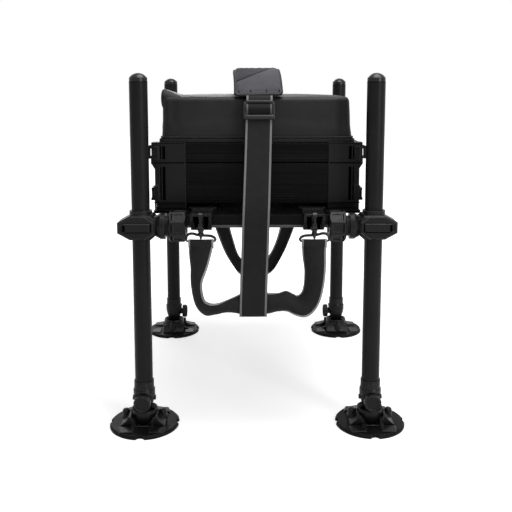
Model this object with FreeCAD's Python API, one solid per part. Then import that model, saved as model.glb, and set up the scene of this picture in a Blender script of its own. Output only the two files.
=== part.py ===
import FreeCAD, Part
import math
import os

# Fishing seat box on four round legs, in millimetres.
# X+ is the front, where the drawers open, Y+ is the left side, Z+ is up, and z 0 is the ground.

V = FreeCAD.Vector
X_AXIS = V(1, 0, 0)
Y_AXIS = V(0, 1, 0)
Z_AXIS = V(0, 0, 1)

# Where the legs stand
LEG_BEYOND_BOX_END = 14.5
LEG_BEYOND_BOX_SIDE = 62.0

# Clearances
RUN = 0.05
LOOSE = 0.3
SLIDE = 0.4

# Legs
LEG_DIAMETER = 36.0
LEG_WALL = 2.0
LEG_TOP = 700.0
CAP_HEIGHT = 18.0
CAP_DOME = 9.9
CAP_PLUG = 22.0
CAP_INSET = 0.3
LEG_FOOT_END = 66.0
GROOVE_WIDTH = 1.2
GROOVE_DEPTH = 0.4
GROOVE_ABOVE_COLLAR = 4.0
CUT_PAST = 1.0

# Feet
DISC_DIAMETER = 142.0
DISC_RIM = 7.0
DISC_NOTCH = 9.0
DISC_CHAMFER = 3.0
HUB_DIAMETER = 58.0
HUB_TOP = 25.0
HUB_TAPER = 5.0
BALL_RADIUS = 15.0
BALL_Z = 19.5
CRADLE_WIDTH = 56.0
CRADLE_DEPTH = 41.0
CRADLE_SLOT_LOW_HALF = 9.0
CRADLE_SLOT_TOP_HALF = 22.0
FIN_THICK = 6.0
FIN_OFFSET = 19.0
FIN_ROOT = 18.0
FIN_FROM_RIM = 14.0
FIN_SLOPE = 8.0
SOCKET_MOUTH_WIDEN = 10.0
SOCKET_MOUTH_HEIGHT = 14.0
LUG_DIAMETER = 11.0
LUG_TOP = 30.0
LUG_OFFSET = 38.0
SLEEVE_WALL = 2.0
SLEEVE_TOP = 95.0
SLEEVE_FLARE_TOP = 80.0
SLEEVE_FLARE_DIAMETER = 44.0
SLEEVE_CONE_END = 31.0
SLEEVE_CONE_RADIUS = 13.0
SLEEVE_RIB = 0.8
SLEEVE_RIBS = 4
SLEEVE_LUG_DIAMETER = 10.0
SLEEVE_LUG_PROUD = 1.5
SLEEVE_SHOULDER_IN = 3.0
SLEEVE_SHOULDER_Z = 50.0
SLEEVE_BODY_Z = 62.0
SLEEVE_TOP_SLOPE = 4.0
SLEEVE_RIB_FIRST = 0.8
SCREW_Z = 57.0
SCREW_KNOB_DIAMETER = 35.0
SCREW_KNOB_LENGTH = 11.0
SCREW_STANDOFF = 25.0
SCREW_SHANK_DIAMETER = 8.0
SCREW_BOSS_DIAMETER = 16.0
SCREW_TIP_PAST_AXIS = 7.0
KNOB_CHAMFER = 1.5
KNOB_RIM = 5.0
KNOB_DISH = 2.0
KNOB_GRIPS = 12
KNOB_GRIP_RADIUS = 2.0
KNOB_GRIP_OUT = 0.8

# Leg clamps
CLAMP_Z = 415.0
CLAMP_HALF_HEIGHT = 24.0
CLAMP_OUTBOARD = 43.6
CLAMP_FACE_HALF = 10.5
CLAMP_TOP_HALF = 19.0
CLAMP_INBOARD = 30.0
CLAMP_HALF_DEPTH = 27.0
CLAMP_BAND_PROUD = 2.0
CLAMP_BAND_HALF = 8.0
CLAMP_BAND_START = 32.0
CLAMP_CHAMFER = 3.0
CLAMP_BEVEL_X = 8.0
CLAMP_BEVEL_Z = 7.0
CLAMP_NOTCH = 5.0
CLAMP_NOTCH_MARGIN = 2.0
CLAMP_NOTCH_DEPTH = 4.0
COLLAR_DIAMETER = 45.0
COLLAR_RISE = 8.0
LINER_WALL = 2.0
FLANGE_DIAMETER = 53.0
FLANGE_START = 40.0
FLANGE_LENGTH = 9.0
NECK_DIAMETER = 40.0
NECK_END = 85.0
THREAD_DEPTH = 1.0
THREAD_PITCH = 2.5
THREADS = 3
NUT_FLATS = 60.0
NUT_START = 57.0
NUT_LENGTH = 34.0
NUT_END_WALL = 5.5
NUT_CHAMFER = 4.0
NUT_SIDES = 8
NUT_DENT_HALF = 7.0
NUT_DENT_DEPTH = 1.2
NUT_DENT_START = 10.2
NUT_DENT_END = 27.2
SPIGOT_DIAMETER = 26.0

# Frame
RAIL_DEPTH = 28.0
RAIL_HEIGHT = 26.0
RAIL_TOP = 440.0
RAIL_WALL = 2.0
RAIL_LIP = 3.0
RAIL_FACE_RECESS = 1.2
RAIL_END_WALL = 6.0
CROSS_X = 120.0
CROSS_SIZE = 20.0
PLATFORM_THICK = 6.0
PLATFORM_NUT_GAP = 4.0
BOLT_DIAMETER = 6.0
BOLT_HEAD = 10.0
BOLT_HEAD_HEIGHT = 5.0
BOLT_Y = 70.0
BOLT_FROM_RAIL = 22.0
BOLT_BELOW_TOP = 1.0

# Box modules
BOX_HALF_X = 218.0
BOX_HALF_Y = 223.0
MOULDING_X = 70.0
MOULDING_Y = 30.0
MOULDING_WALL = 10.0
WAIST_DEPTH = 6.5
WAIST_BELOW_TOP = 12.75
LIP_STRAIGHT = 2.55
MOULDING_FOOT_BEVEL = 2.0
MOULDING_FOOT_PAST_WALL = 4.0
FOOT_RECESS = 8.0
MODULE_FOOT = 10.0
LOWER_HEIGHT = 85.0
UPPER_HEIGHT = 42.0
MODULE_GAP = 0.5
PANEL_THICK = 8.0
RIB_DEPTH = 1.6
RIB_WIDTH = 1.6
RIB_SPACING = 8.5
RIB_FIRST = 5.0
RIBBED_SHARE = 0.62
PANEL_BAND_SHARE = 0.26
PANEL_BAND_PROUD = 1.5
PANEL_MARGIN = 1.0
CASING_WALL = 4.0
CASING_FLOOR = 3.0
SLOT_WIDTH = 3.0
SLOT_DEPTH = 2.0
SLOT_GAP = 6.3
SLOT_FROM_END = 17.0
SLOT_FOOT = 7.0
SLOT_HEAD = 8.0
PLATE_PROUD = 1.0
PLATE_START = 12.0
PLATE_END = 3.0
PLATE_TALLEST = 32.0

# Drawers
DRAWER_SIDE_GAP = 29.0
DRAWER_WALL = 2.5
DRAWER_FRONT = 11.0
DRAWER_REAR_GAP = 8.0
GUIDE_WIDTH = 12.0
GUIDE_HEIGHT = 5.0
GUIDE_SHARE = 0.68
RUNNER_PLATE = 3.0
RUNNER_HEIGHT = 14.0
PULL_HALF_Y = 55.0
PULL_HEIGHT = 9.0
PULL_DEPTH = 10.0
PULL_ROUND = 3.0
PULL_WALL = 3.0
LOWER_DRAWER_HEIGHT = 72.0
UPPER_DRAWER_HEIGHT = 32.0

# Latch clips on the two ends
CLIP_FROM_SIDE = 14.0
CLIP_WIDTH = 18.0
CLIP_THICK = 3.8
CLIP_LENGTH = 24.0
CLIP_NIB = 1.2
CLIP_NIB_HEIGHT = 2.6
CLIP_PIN_RADIUS = 1.2
CLIP_EAR = 3.0
CLIP_EAR_HALF_HEIGHT = 3.0
CLIP_PLATE_SETBACK = 1.0
CLIP_GRIP = 1.5
CLIP_GRIP_HEIGHT = 5.0
KEEPER_THICK = 2.0
KEEPER_HALF = 6.0
KEEPER_RISE_UPPER = 13.5
KEEPER_RISE_LOWER = 22.0

# Seat
SEAT_BASE_THICK = 7.0
SEAT_INSET_X = 15.0
SEAT_INSET_Y = 4.0
SEAT_KEY_DEPTH = 4.0
SEAT_KEY_WALL = 4.0
SEAT_KEY_GAP_X = 8.0
SEAT_KEY_GAP_Y = 2.0
CUSHION_INSET = 4.0
CUSHION_TOP = 669.0
CUSHION_ROUND = 12.0
LIP_HEIGHT = 16.0
LIP_WIDTH = 22.0
LIP_ROOT = 20.0

# Strap brackets, snap hooks and rings
BRACKET_FROM_RAIL_END = 30.2
BRACKET_WIDTH = 41.0
BRACKET_PLATE = 4.0
BRACKET_DROP = 30.0
BRACKET_FLANGE_WIDTH = 57.0
BRACKET_TAIL_GAP = 23.0
BRACKET_TAPER = 22.0
BRACKET_TAIL_RISE = 3.0
BRACKET_HEEL = 6.0
EAR_THICK = 5.0
EAR_PAST_BAR = 5.0
EAR_RISE = 2.0
EAR_DROP = 5.0
EAR_FOOT = 3.0
BAR_DIAMETER = 5.0
BAR_Z = 442.0
HOOK_Y_OUT = 15.0
HOOK_HALF_INNER = 6.5
HOOK_WIRE = 4.0
HOOK_THICK = 8.0
HOOK_STRAIGHT = 15.0
EYE_RADIUS = 4.0
EYE_WIRE = 3.2
EYE_THICK = 4.0
EYE_RISE = 1.0
SWIVEL_RADIUS = 3.2
SWIVEL_HEIGHT = 5.0
GATE_PIN_RADIUS = 0.8
GATE_FORK_WALL = 2.0
GATE_SLIM = 0.2
RING_WIRE = 3.0
RING_HALF = 28.0
RING_HEIGHT = 13.0
RING_CROWN_HALF = 5.0
RING_SHOULDER_IN = 8.0
RING_SHOULDER_DROP = 3.0
RING_SIDE_DROP = 8.0

# Harness
STRAP_WIDTH = 54.0
STRAP_THICK = 2.4
STRAP_GAP = 10.0
STRAP_SHOULDER_OUT = 12.0
STRAP_SHOULDER_DROP = 6.0
STRAP_BEND_RISE = 12.0
NEAR_LOOP_Z = 238.0
FAR_LOOP_Z = 152.0
LOOP_LENGTH = 62.0
PAD_HALF_X = 52.0
PAD_X = 3.0
PAD_CREST = 735.0
PAD_END_Z = 686.0
PAD_THICK = 12.0
PAD_OVERHANG = 7.0
PAD_END_SLANT = 2.0
BUCKLE_WIDTH = 61.0
BUCKLE_HEIGHT = 36.0
BUCKLE_THICK = 3.0
BUCKLE_BAR = 4.0
BUCKLE_SLOT = 12.0
WEB_THICK = 3.0
WEB_WIDTH = 50.0

# Places that follow from the sizes above
LEG_X = BOX_HALF_X + LEG_BEYOND_BOX_END
LEG_Y = BOX_HALF_Y + LEG_BEYOND_BOX_SIDE
LEG_RADIUS = LEG_DIAMETER / 2
COLLAR_TOP = CLAMP_Z + CLAMP_HALF_HEIGHT + COLLAR_RISE
BORE_RADIUS = LEG_RADIUS + RUN + LINER_WALL
SPIGOT_RADIUS = SPIGOT_DIAMETER / 2
NUT_CORNER = NUT_FLATS / 2 / math.cos(math.pi / NUT_SIDES)
RAIL_END = LEG_X - NUT_START - NUT_LENGTH - LOOSE
BRACKET_X = RAIL_END - BRACKET_FROM_RAIL_END
RAIL_BOTTOM = RAIL_TOP - RAIL_HEIGHT
RAIL_FACE = LEG_Y + RAIL_DEPTH / 2
RAIL_INNER = LEG_Y - RAIL_DEPTH / 2
LOWER_Z = RAIL_TOP + MODULE_FOOT
LOWER_TOP = LOWER_Z + LOWER_HEIGHT
UPPER_Z = LOWER_TOP + MODULE_GAP
UPPER_TOP = UPPER_Z + UPPER_HEIGHT
CASING_OUT = BOX_HALF_Y - MOULDING_WALL
CASING_IN = CASING_OUT - CASING_WALL
CASING_REAR = -BOX_HALF_X + MOULDING_WALL
DRAWER_HALF_Y = CASING_IN - DRAWER_SIDE_GAP
CLIP_Y = BOX_HALF_Y - CLIP_FROM_SIDE
SEAT_BASE_HALF_X = BOX_HALF_X - SEAT_INSET_X
SEAT_BASE_HALF_Y = BOX_HALF_Y - SEAT_INSET_Y
CUSHION_HALF_X = SEAT_BASE_HALF_X - CUSHION_INSET
CUSHION_HALF_Y = SEAT_BASE_HALF_Y - CUSHION_INSET
PAD_HALF_Y = CUSHION_HALF_Y + PAD_OVERHANG
BRACKET_TAIL = BOX_HALF_Y + BRACKET_TAIL_GAP
SEAT_Z = UPPER_TOP + LOOSE
CUSHION_Z = SEAT_Z + SEAT_BASE_THICK
HOOK_Y = RAIL_FACE + BRACKET_PLATE + HOOK_Y_OUT
HOOK_TOP_CENTRE = BAR_Z + BAR_DIAMETER / 2 + RUN - HOOK_HALF_INNER
HOOK_LOW_CENTRE = HOOK_TOP_CENTRE - HOOK_STRAIGHT
HOOK_BOTTOM = HOOK_LOW_CENTRE - HOOK_HALF_INNER - HOOK_WIRE
EYE_Z = HOOK_BOTTOM - EYE_RADIUS - EYE_WIRE + EYE_RISE
RING_TOP = EYE_Z - EYE_RADIUS + RING_WIRE / 2 + RUN
RING_LOW = RING_TOP - RING_HEIGHT
STRAP_LEAF_Y = HOOK_Y - STRAP_GAP / 2 - STRAP_THICK
STRAP_BEND_Z = RAIL_TOP + STRAP_BEND_RISE
STRAP_SHOULDER_Y = CUSHION_HALF_Y + STRAP_SHOULDER_OUT
STRAP_SHOULDER_Z = CUSHION_TOP - STRAP_SHOULDER_DROP

CORNERS = {
    "front_left": (1, 1),
    "front_right": (1, -1),
    "rear_left": (-1, 1),
    "rear_right": (-1, -1),
}


def block(x0, x1, y0, y1, z0, z1):
    return Part.makeBox(x1 - x0, y1 - y0, z1 - z0, V(x0, y0, z0))


def rod(radius, length, at, axis):
    return Part.makeCylinder(radius, length, at, axis)


def tube(outer, inner, length, at, axis):
    return rod(outer, length, at, axis).cut(rod(inner, length, at, axis))


def prism(points, along):
    face = Part.Face(Part.makePolygon([*points, points[0]]))
    return face.extrude(along)


def side_prism(outline, y0, y1):
    """Extrudes an outline of (x, z) points along Y."""
    return prism([V(x, y0, z) for x, z in outline], V(0, y1 - y0, 0))


def end_prism(outline, x0, x1):
    """Extrudes an outline of (y, z) points along X."""
    return prism([V(x0, y, z) for y, z in outline], V(x1 - x0, 0, 0))


def turned(outline):
    """Turns an outline of (radius, z) points about Z."""
    points = [V(r, 0, z) for r, z in outline]
    face = Part.Face(Part.makePolygon([*points, points[0]]))
    return face.revolve(V(0, 0, 0), Z_AXIS, 360)


def joined(shapes):
    whole = shapes[0]
    if len(shapes) > 1:
        whole = whole.fuse(shapes[1:])
    return whole.removeSplitter()


def mirrored(shape, sx, sy):
    """Carries a shape from the corner with both signs minus to the one with signs sx and sy."""
    if sx > 0:
        shape = shape.mirror(V(0, 0, 0), X_AXIS)
    if sy > 0:
        shape = shape.mirror(V(0, 0, 0), Y_AXIS)
    return shape


def at_corner(shape, name, turn=0.0):
    """Places a shape made about the Z axis on the leg of a corner."""
    sx, sy = CORNERS[name]
    shape = shape.copy()
    shape.rotate(V(0, 0, 0), Z_AXIS, turn)
    shape.translate(V(sx * LEG_X, sy * LEG_Y, 0))
    return shape


def save(name, *shapes):
    whole = shapes[0] if len(shapes) == 1 else Part.makeCompound(list(shapes))
    solids = whole.Solids
    if not solids or not all(s.isValid() and s.isClosed() for s in solids):
        raise RuntimeError("bad solid in " + name)
    whole = solids[0] if len(solids) == 1 else Part.makeCompound(solids)
    whole.exportStep("parts/" + name + ".step")


def foot_turn(name):
    """The left feet stand turned, with their screws towards the middle of the box."""
    sx, sy = CORNERS[name]
    return 0.0 if sy < 0 else -90.0 * sx


# Legs


def leg_tube():
    pipe = tube(
        LEG_RADIUS, LEG_RADIUS - LEG_WALL, LEG_TOP - LEG_FOOT_END, V(0, 0, LEG_FOOT_END), Z_AXIS
    )
    groove_z = COLLAR_TOP + GROOVE_ABOVE_COLLAR
    groove = tube(
        LEG_RADIUS + CUT_PAST, LEG_RADIUS - GROOVE_DEPTH, GROOVE_WIDTH, V(0, 0, groove_z), Z_AXIS
    )
    return pipe.cut(groove)


def leg_cap():
    outer = LEG_RADIUS - CAP_INSET
    plug = LEG_RADIUS - LEG_WALL - RUN
    body = rod(outer, CAP_HEIGHT - CAP_DOME, V(0, 0, LEG_TOP), Z_AXIS)
    ball_radius = (outer**2 + CAP_DOME**2) / (2 * CAP_DOME)
    ball = Part.makeSphere(ball_radius, V(0, 0, LEG_TOP + CAP_HEIGHT - ball_radius))
    column = rod(outer, CAP_DOME, V(0, 0, LEG_TOP + CAP_HEIGHT - CAP_DOME), Z_AXIS)
    stem = tube(plug, plug - LEG_WALL, CAP_PLUG, V(0, 0, LEG_TOP - CAP_PLUG), Z_AXIS)
    return joined([body, ball.common(column), stem])


def foot_sleeve():
    bore = LEG_RADIUS + RUN
    outer = LEG_RADIUS + SLEEVE_WALL
    flare = SLEEVE_FLARE_DIAMETER / 2
    outline = [
        (0, SLEEVE_CONE_END),
        (SLEEVE_CONE_RADIUS, SLEEVE_CONE_END),
        (flare - SLEEVE_SHOULDER_IN, SLEEVE_SHOULDER_Z),
        (flare, SLEEVE_BODY_Z),
        (flare, SLEEVE_FLARE_TOP - SLEEVE_TOP_SLOPE),
        (outer, SLEEVE_FLARE_TOP),
        (outer, SLEEVE_TOP),
        (0, SLEEVE_TOP),
    ]
    body = turned(outline)
    boss = rod(
        SCREW_BOSS_DIAMETER / 2,
        SCREW_STANDOFF - LOOSE - flare / 2,
        V(0, -flare / 2, SCREW_Z),
        V(0, -1, 0),
    )
    lug = flare + SLEEVE_LUG_PROUD
    pin = rod(SLEEVE_LUG_DIAMETER / 2, 2 * lug, V(-lug, 0, SCREW_Z), X_AXIS)
    body = joined([body, boss, pin])
    rib_span = (SLEEVE_TOP - SLEEVE_FLARE_TOP) / (SLEEVE_RIBS + 1)
    for i in range(SLEEVE_RIBS):
        z = SLEEVE_FLARE_TOP + rib_span * (i + SLEEVE_RIB_FIRST)
        ring = tube(
            outer + CUT_PAST, outer - SLEEVE_RIB, rib_span / 2, V(0, 0, z), Z_AXIS
        )
        body = body.cut(ring)
    socket = rod(bore, SLEEVE_TOP - LEG_FOOT_END, V(0, 0, LEG_FOOT_END), Z_AXIS)
    shank = rod(
        SCREW_SHANK_DIAMETER / 2 + RUN, SCREW_STANDOFF + SCREW_TIP_PAST_AXIS + CUT_PAST,
        V(0, SCREW_TIP_PAST_AXIS + CUT_PAST, SCREW_Z), V(0, -1, 0),
    )
    cup = Part.makeSphere(BALL_RADIUS + RUN, V(0, 0, BALL_Z))
    return body.cut(socket).cut(shank).cut(cup)


def foot_ball():
    return Part.makeSphere(BALL_RADIUS, V(0, 0, BALL_Z))


def foot_screw():
    knob = rod(
        SCREW_KNOB_DIAMETER / 2, SCREW_KNOB_LENGTH, V(0, -SCREW_STANDOFF, SCREW_Z), V(0, -1, 0)
    )
    knob = knob.makeChamfer(KNOB_CHAMFER, [e for e in knob.Edges if e.Curve.TypeId == "Part::GeomCircle"])
    dish = rod(
        SCREW_KNOB_DIAMETER / 2 - KNOB_RIM,
        KNOB_DISH,
        V(0, -SCREW_STANDOFF - SCREW_KNOB_LENGTH + KNOB_DISH, SCREW_Z),
        V(0, -1, 0),
    )
    knob = knob.cut(dish)
    reach = SCREW_KNOB_DIAMETER / 2 + KNOB_GRIP_OUT
    for i in range(KNOB_GRIPS):
        turn = 2 * math.pi * i / KNOB_GRIPS
        at = V(reach * math.cos(turn), -SCREW_STANDOFF, SCREW_Z + reach * math.sin(turn))
        knob = knob.cut(rod(KNOB_GRIP_RADIUS, SCREW_KNOB_LENGTH, at, V(0, -1, 0)))
    shank = rod(
        SCREW_SHANK_DIAMETER / 2, SCREW_STANDOFF + SCREW_TIP_PAST_AXIS,
        V(0, SCREW_TIP_PAST_AXIS, SCREW_Z), V(0, -1, 0),
    )
    return joined([knob, shank])


def foot_disc():
    radius = DISC_DIAMETER / 2
    plate = rod(radius, DISC_RIM, V(0, 0, 0), Z_AXIS)
    plate = plate.makeChamfer(DISC_CHAMFER, [max(plate.Edges, key=lambda e: e.BoundBox.ZMin)])
    for turn in (-90, 0, 90, 180):
        angle = math.radians(turn)
        reach = radius + DISC_NOTCH * 0.25
        at = V(reach * math.cos(angle), reach * math.sin(angle), 0)
        plate = plate.cut(rod(DISC_NOTCH, DISC_RIM, at, Z_AXIS))
    hub_foot = HUB_DIAMETER / 2
    hub = Part.makeCone(hub_foot, hub_foot - HUB_TAPER, HUB_TOP - 1, V(0, 0, 0), Z_AXIS)
    shapes = [plate, hub]
    half = CRADLE_WIDTH / 2
    cradle = prism(
        [
            V(-half, -CRADLE_DEPTH / 2, DISC_RIM - 1),
            V(half, -CRADLE_DEPTH / 2, DISC_RIM - 1),
            V(half, -CRADLE_DEPTH / 2, HUB_TOP - 2),
            V(-half, -CRADLE_DEPTH / 2, HUB_TOP - 2),
        ],
        V(0, CRADLE_DEPTH, 0),
    )
    shapes.append(cradle)
    for side in (-1, 1):
        shapes.append(rod(LUG_DIAMETER / 2, LUG_TOP, V(side * LUG_OFFSET, 0, 0), Z_AXIS))
        rib = block(
            min(side * half, side * LUG_OFFSET),
            max(side * half, side * LUG_OFFSET),
            -FIN_THICK / 2,
            FIN_THICK / 2,
            0,
            HUB_TOP - 4,
        )
        shapes.append(rib)
        start = -radius + FIN_FROM_RIM
        fin = end_prism(
            [
                (start, 0),
                (-FIN_ROOT, 0),
                (-FIN_ROOT, HUB_TOP - 3),
                (start + FIN_SLOPE, DISC_RIM + 2),
            ],
            side * FIN_OFFSET - FIN_THICK / 2,
            side * FIN_OFFSET + FIN_THICK / 2,
        )
        shapes.append(fin)
    body = joined(shapes)
    slot = prism(
        [
            V(-CRADLE_SLOT_LOW_HALF, -radius, DISC_RIM + 1),
            V(CRADLE_SLOT_LOW_HALF, -radius, DISC_RIM + 1),
            V(CRADLE_SLOT_TOP_HALF, -radius, HUB_TOP + 6),
            V(-CRADLE_SLOT_TOP_HALF, -radius, HUB_TOP + 6),
        ],
        V(0, radius - BALL_RADIUS + 2, 0),
    )
    body = body.cut(slot)
    cup = Part.makeSphere(BALL_RADIUS + RUN, V(0, 0, BALL_Z))
    mouth = Part.makeCone(
        BALL_RADIUS - 2, BALL_RADIUS + SOCKET_MOUTH_WIDEN, SOCKET_MOUTH_HEIGHT,
        V(0, 0, BALL_Z + 2), Z_AXIS,
    )
    return body.cut(cup).cut(mouth)


# Leg clamps, made for the rear right corner about its own leg axis


def clamp_outline():
    top = CLAMP_Z + CLAMP_HALF_HEIGHT
    low = CLAMP_Z - CLAMP_HALF_HEIGHT
    return [
        (-CLAMP_OUTBOARD, CLAMP_Z - CLAMP_FACE_HALF),
        (-CLAMP_TOP_HALF, low),
        (CLAMP_INBOARD - CLAMP_BEVEL_X, low),
        (CLAMP_INBOARD, low + CLAMP_BEVEL_Z),
        (CLAMP_INBOARD, top - CLAMP_BEVEL_Z),
        (CLAMP_INBOARD - CLAMP_BEVEL_X, top),
        (-CLAMP_TOP_HALF, top),
        (-CLAMP_OUTBOARD, CLAMP_Z + CLAMP_FACE_HALF),
    ]


def clamp_housing():
    body = side_prism(clamp_outline(), -CLAMP_HALF_DEPTH, CLAMP_HALF_DEPTH)
    upright = [e for e in body.Edges if abs(e.tangentAt(e.FirstParameter).y) < 0.1]
    body = body.makeChamfer(CLAMP_CHAMFER, upright)
    collar = rod(
        COLLAR_DIAMETER / 2,
        CLAMP_HALF_HEIGHT + COLLAR_RISE,
        V(0, 0, CLAMP_Z),
        Z_AXIS,
    )
    flare = Part.makeCone(
        NECK_DIAMETER / 2, FLANGE_DIAMETER / 2, FLANGE_START - CLAMP_INBOARD + 2,
        V(CLAMP_INBOARD - 2, 0, CLAMP_Z), X_AXIS,
    )
    flange = rod(FLANGE_DIAMETER / 2, FLANGE_LENGTH, V(FLANGE_START, 0, CLAMP_Z), X_AXIS)
    neck_start = FLANGE_START + FLANGE_LENGTH
    neck = rod(NECK_DIAMETER / 2, NECK_END - neck_start, V(neck_start, 0, CLAMP_Z), X_AXIS)
    proud = CLAMP_HALF_DEPTH + CLAMP_BAND_PROUD
    band = block(
        -CLAMP_BAND_START,
        CLAMP_TOP_HALF,
        -proud,
        proud,
        CLAMP_Z - CLAMP_BAND_HALF,
        CLAMP_Z + CLAMP_BAND_HALF,
    )
    body = joined([body, collar, flare, flange, neck, band])
    for side in (-1, 1):
        y0, y1 = sorted([side * (proud - CLAMP_NOTCH_DEPTH), side * (proud + CUT_PAST)])
        half = CLAMP_BAND_HALF - CLAMP_NOTCH_MARGIN
        notch = block(
            -CLAMP_BAND_START - CLAMP_NOTCH, -CLAMP_BAND_START, y0, y1,
            CLAMP_Z - half, CLAMP_Z + half,
        )
        body = body.cut(notch)
    for i in range(THREADS):
        x = neck_start + THREAD_PITCH * (i + 0.5)
        root = NECK_DIAMETER / 2 - THREAD_DEPTH
        body = body.cut(tube(root + 5, root, THREAD_PITCH / 2, V(x, 0, CLAMP_Z), X_AXIS))
    low = CLAMP_Z - CLAMP_HALF_HEIGHT
    body = body.cut(rod(BORE_RADIUS, COLLAR_TOP - low, V(0, 0, low), Z_AXIS))
    return body.cut(rod(SPIGOT_RADIUS + RUN, NECK_END, V(0, 0, CLAMP_Z), X_AXIS))


def clamp_liner():
    low = CLAMP_Z - CLAMP_HALF_HEIGHT
    return tube(BORE_RADIUS, LEG_RADIUS + RUN, COLLAR_TOP - low, V(0, 0, low), Z_AXIS)


def clamp_nut():
    corner = NUT_CORNER
    points = []
    for i in range(NUT_SIDES):
        angle = 2 * math.pi / NUT_SIDES * (i + 0.5)
        points.append(V(NUT_START, corner * math.cos(angle), CLAMP_Z + corner * math.sin(angle)))
    body = prism(points, V(NUT_LENGTH, 0, 0))
    ends = Part.makeCone(
        corner - NUT_CHAMFER, corner + NUT_LENGTH, NUT_LENGTH + NUT_CHAMFER,
        V(NUT_START, 0, CLAMP_Z), X_AXIS,
    )
    far_ends = Part.makeCone(
        corner - NUT_CHAMFER, corner + NUT_LENGTH, NUT_LENGTH + NUT_CHAMFER,
        V(NUT_START + NUT_LENGTH, 0, CLAMP_Z), V(-1, 0, 0),
    )
    body = body.common(ends).common(far_ends)
    thread_length = NUT_LENGTH - NUT_END_WALL
    body = body.cut(rod(NECK_DIAMETER / 2 + RUN, thread_length, V(NUT_START, 0, CLAMP_Z), X_AXIS))
    body = body.cut(rod(SPIGOT_RADIUS + LOOSE, NUT_LENGTH, V(NUT_START, 0, CLAMP_Z), X_AXIS))
    for i in range(NUT_SIDES):
        dent = block(
            NUT_START + NUT_DENT_START, NUT_START + NUT_DENT_END, -NUT_DENT_HALF, NUT_DENT_HALF,
            CLAMP_Z + NUT_FLATS / 2 - NUT_DENT_DEPTH, CLAMP_Z + NUT_FLATS / 2 + CUT_PAST,
        )
        dent.rotate(V(0, 0, CLAMP_Z), X_AXIS, 360 / NUT_SIDES * i)
        body = body.cut(dent)
    return body


def on_leg(shape, name):
    """Carries a clamp piece from the rear right leg's own axis to a corner."""
    shape = shape.copy()
    shape.translate(V(-LEG_X, -LEG_Y, 0))
    return mirrored(shape, *CORNERS[name])


# Frame


def side_rail():
    outer = block(-RAIL_END, RAIL_END, -RAIL_FACE, -RAIL_INNER, RAIL_BOTTOM, RAIL_TOP)
    outer = outer.cut(
        block(
            -RAIL_END, RAIL_END, -RAIL_FACE - CUT_PAST, -RAIL_FACE + RAIL_FACE_RECESS,
            RAIL_BOTTOM + RAIL_LIP + 1, RAIL_TOP - RAIL_LIP,
        )
    )
    inner = block(
        -RAIL_END + RAIL_END_WALL, RAIL_END - RAIL_END_WALL,
        -RAIL_FACE + 2 * RAIL_WALL, -RAIL_INNER - RAIL_WALL,
        RAIL_BOTTOM + RAIL_WALL, RAIL_TOP - RAIL_WALL,
    )
    body = outer.cut(inner)
    shapes = [body]
    for side in (-1, 1):
        start = side * (RAIL_END - 1)
        length = LEG_X - BORE_RADIUS - LOOSE - RAIL_END + 1
        shapes.append(
            rod(SPIGOT_RADIUS, length, V(start, -LEG_Y, CLAMP_Z), V(side, 0, 0))
        )
    return joined(shapes)


def cross_bar():
    half = CROSS_SIZE / 2
    low = RAIL_TOP - PLATFORM_THICK - CROSS_SIZE
    outer = block(-half, half, -RAIL_INNER, RAIL_INNER, low, low + CROSS_SIZE)
    inner = block(
        -half + RAIL_WALL, half - RAIL_WALL, -RAIL_INNER, RAIL_INNER,
        low + RAIL_WALL, low + CROSS_SIZE - RAIL_WALL,
    )
    return outer.cut(inner)


def platform():
    low = RAIL_TOP - PLATFORM_THICK
    shoulder = LEG_Y - NUT_CORNER - PLATFORM_NUT_GAP
    end = end_face(LOWER_Z, LOWER_TOP)
    wide = block(end, -end, -shoulder, shoulder, low, RAIL_TOP)
    tongue = block(-RAIL_END, RAIL_END, -RAIL_INNER, RAIL_INNER, low, RAIL_TOP)
    tab = keeper(end, end + 2, RAIL_TOP - KEEPER_THICK, RAIL_TOP + KEEPER_RISE_LOWER)
    tabs = [mirrored(tab, sx, sy) for sx, sy in CORNERS.values()]
    return joined([wide, tongue, *tabs])


def frame_bolts():
    bolts = []
    top = RAIL_TOP - PLATFORM_THICK
    low = top - CROSS_SIZE
    for x in (-CROSS_X, CROSS_X):
        for y in (-RAIL_INNER + BOLT_FROM_RAIL, -BOLT_Y, BOLT_Y, RAIL_INNER - BOLT_FROM_RAIL):
            shank = rod(BOLT_DIAMETER / 2, RAIL_TOP - low - BOLT_BELOW_TOP, V(x, y, low), Z_AXIS)
            head = rod(BOLT_HEAD / 2, BOLT_HEAD_HEIGHT, V(x, y, low - BOLT_HEAD_HEIGHT), Z_AXIS)
            bolts.append(joined([shank, head]))
    return bolts


# Box modules


def end_face(low, high):
    """The flat of a module's rear end: the deep lower module has a waist under its lip."""
    deep = high - low > UPPER_HEIGHT + 1
    return -BOX_HALF_X + (WAIST_DEPTH if deep else 0.0)


def moulding_outline(low, high):
    """The end view of a corner moulding: a lip at the top and, if deep enough, a waist below it."""
    edge = -BOX_HALF_X
    waist = end_face(low, high)
    deep = waist > edge
    inner = edge + MOULDING_X
    return [
        (waist + MOULDING_FOOT_BEVEL, low),
        (inner, low),
        (inner, high),
        (edge, high),
        (edge, high - LIP_STRAIGHT),
        (waist, high - (WAIST_BELOW_TOP if deep else 2 * LIP_STRAIGHT)),
        (waist, low + MOULDING_FOOT_BEVEL),
    ]


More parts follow.
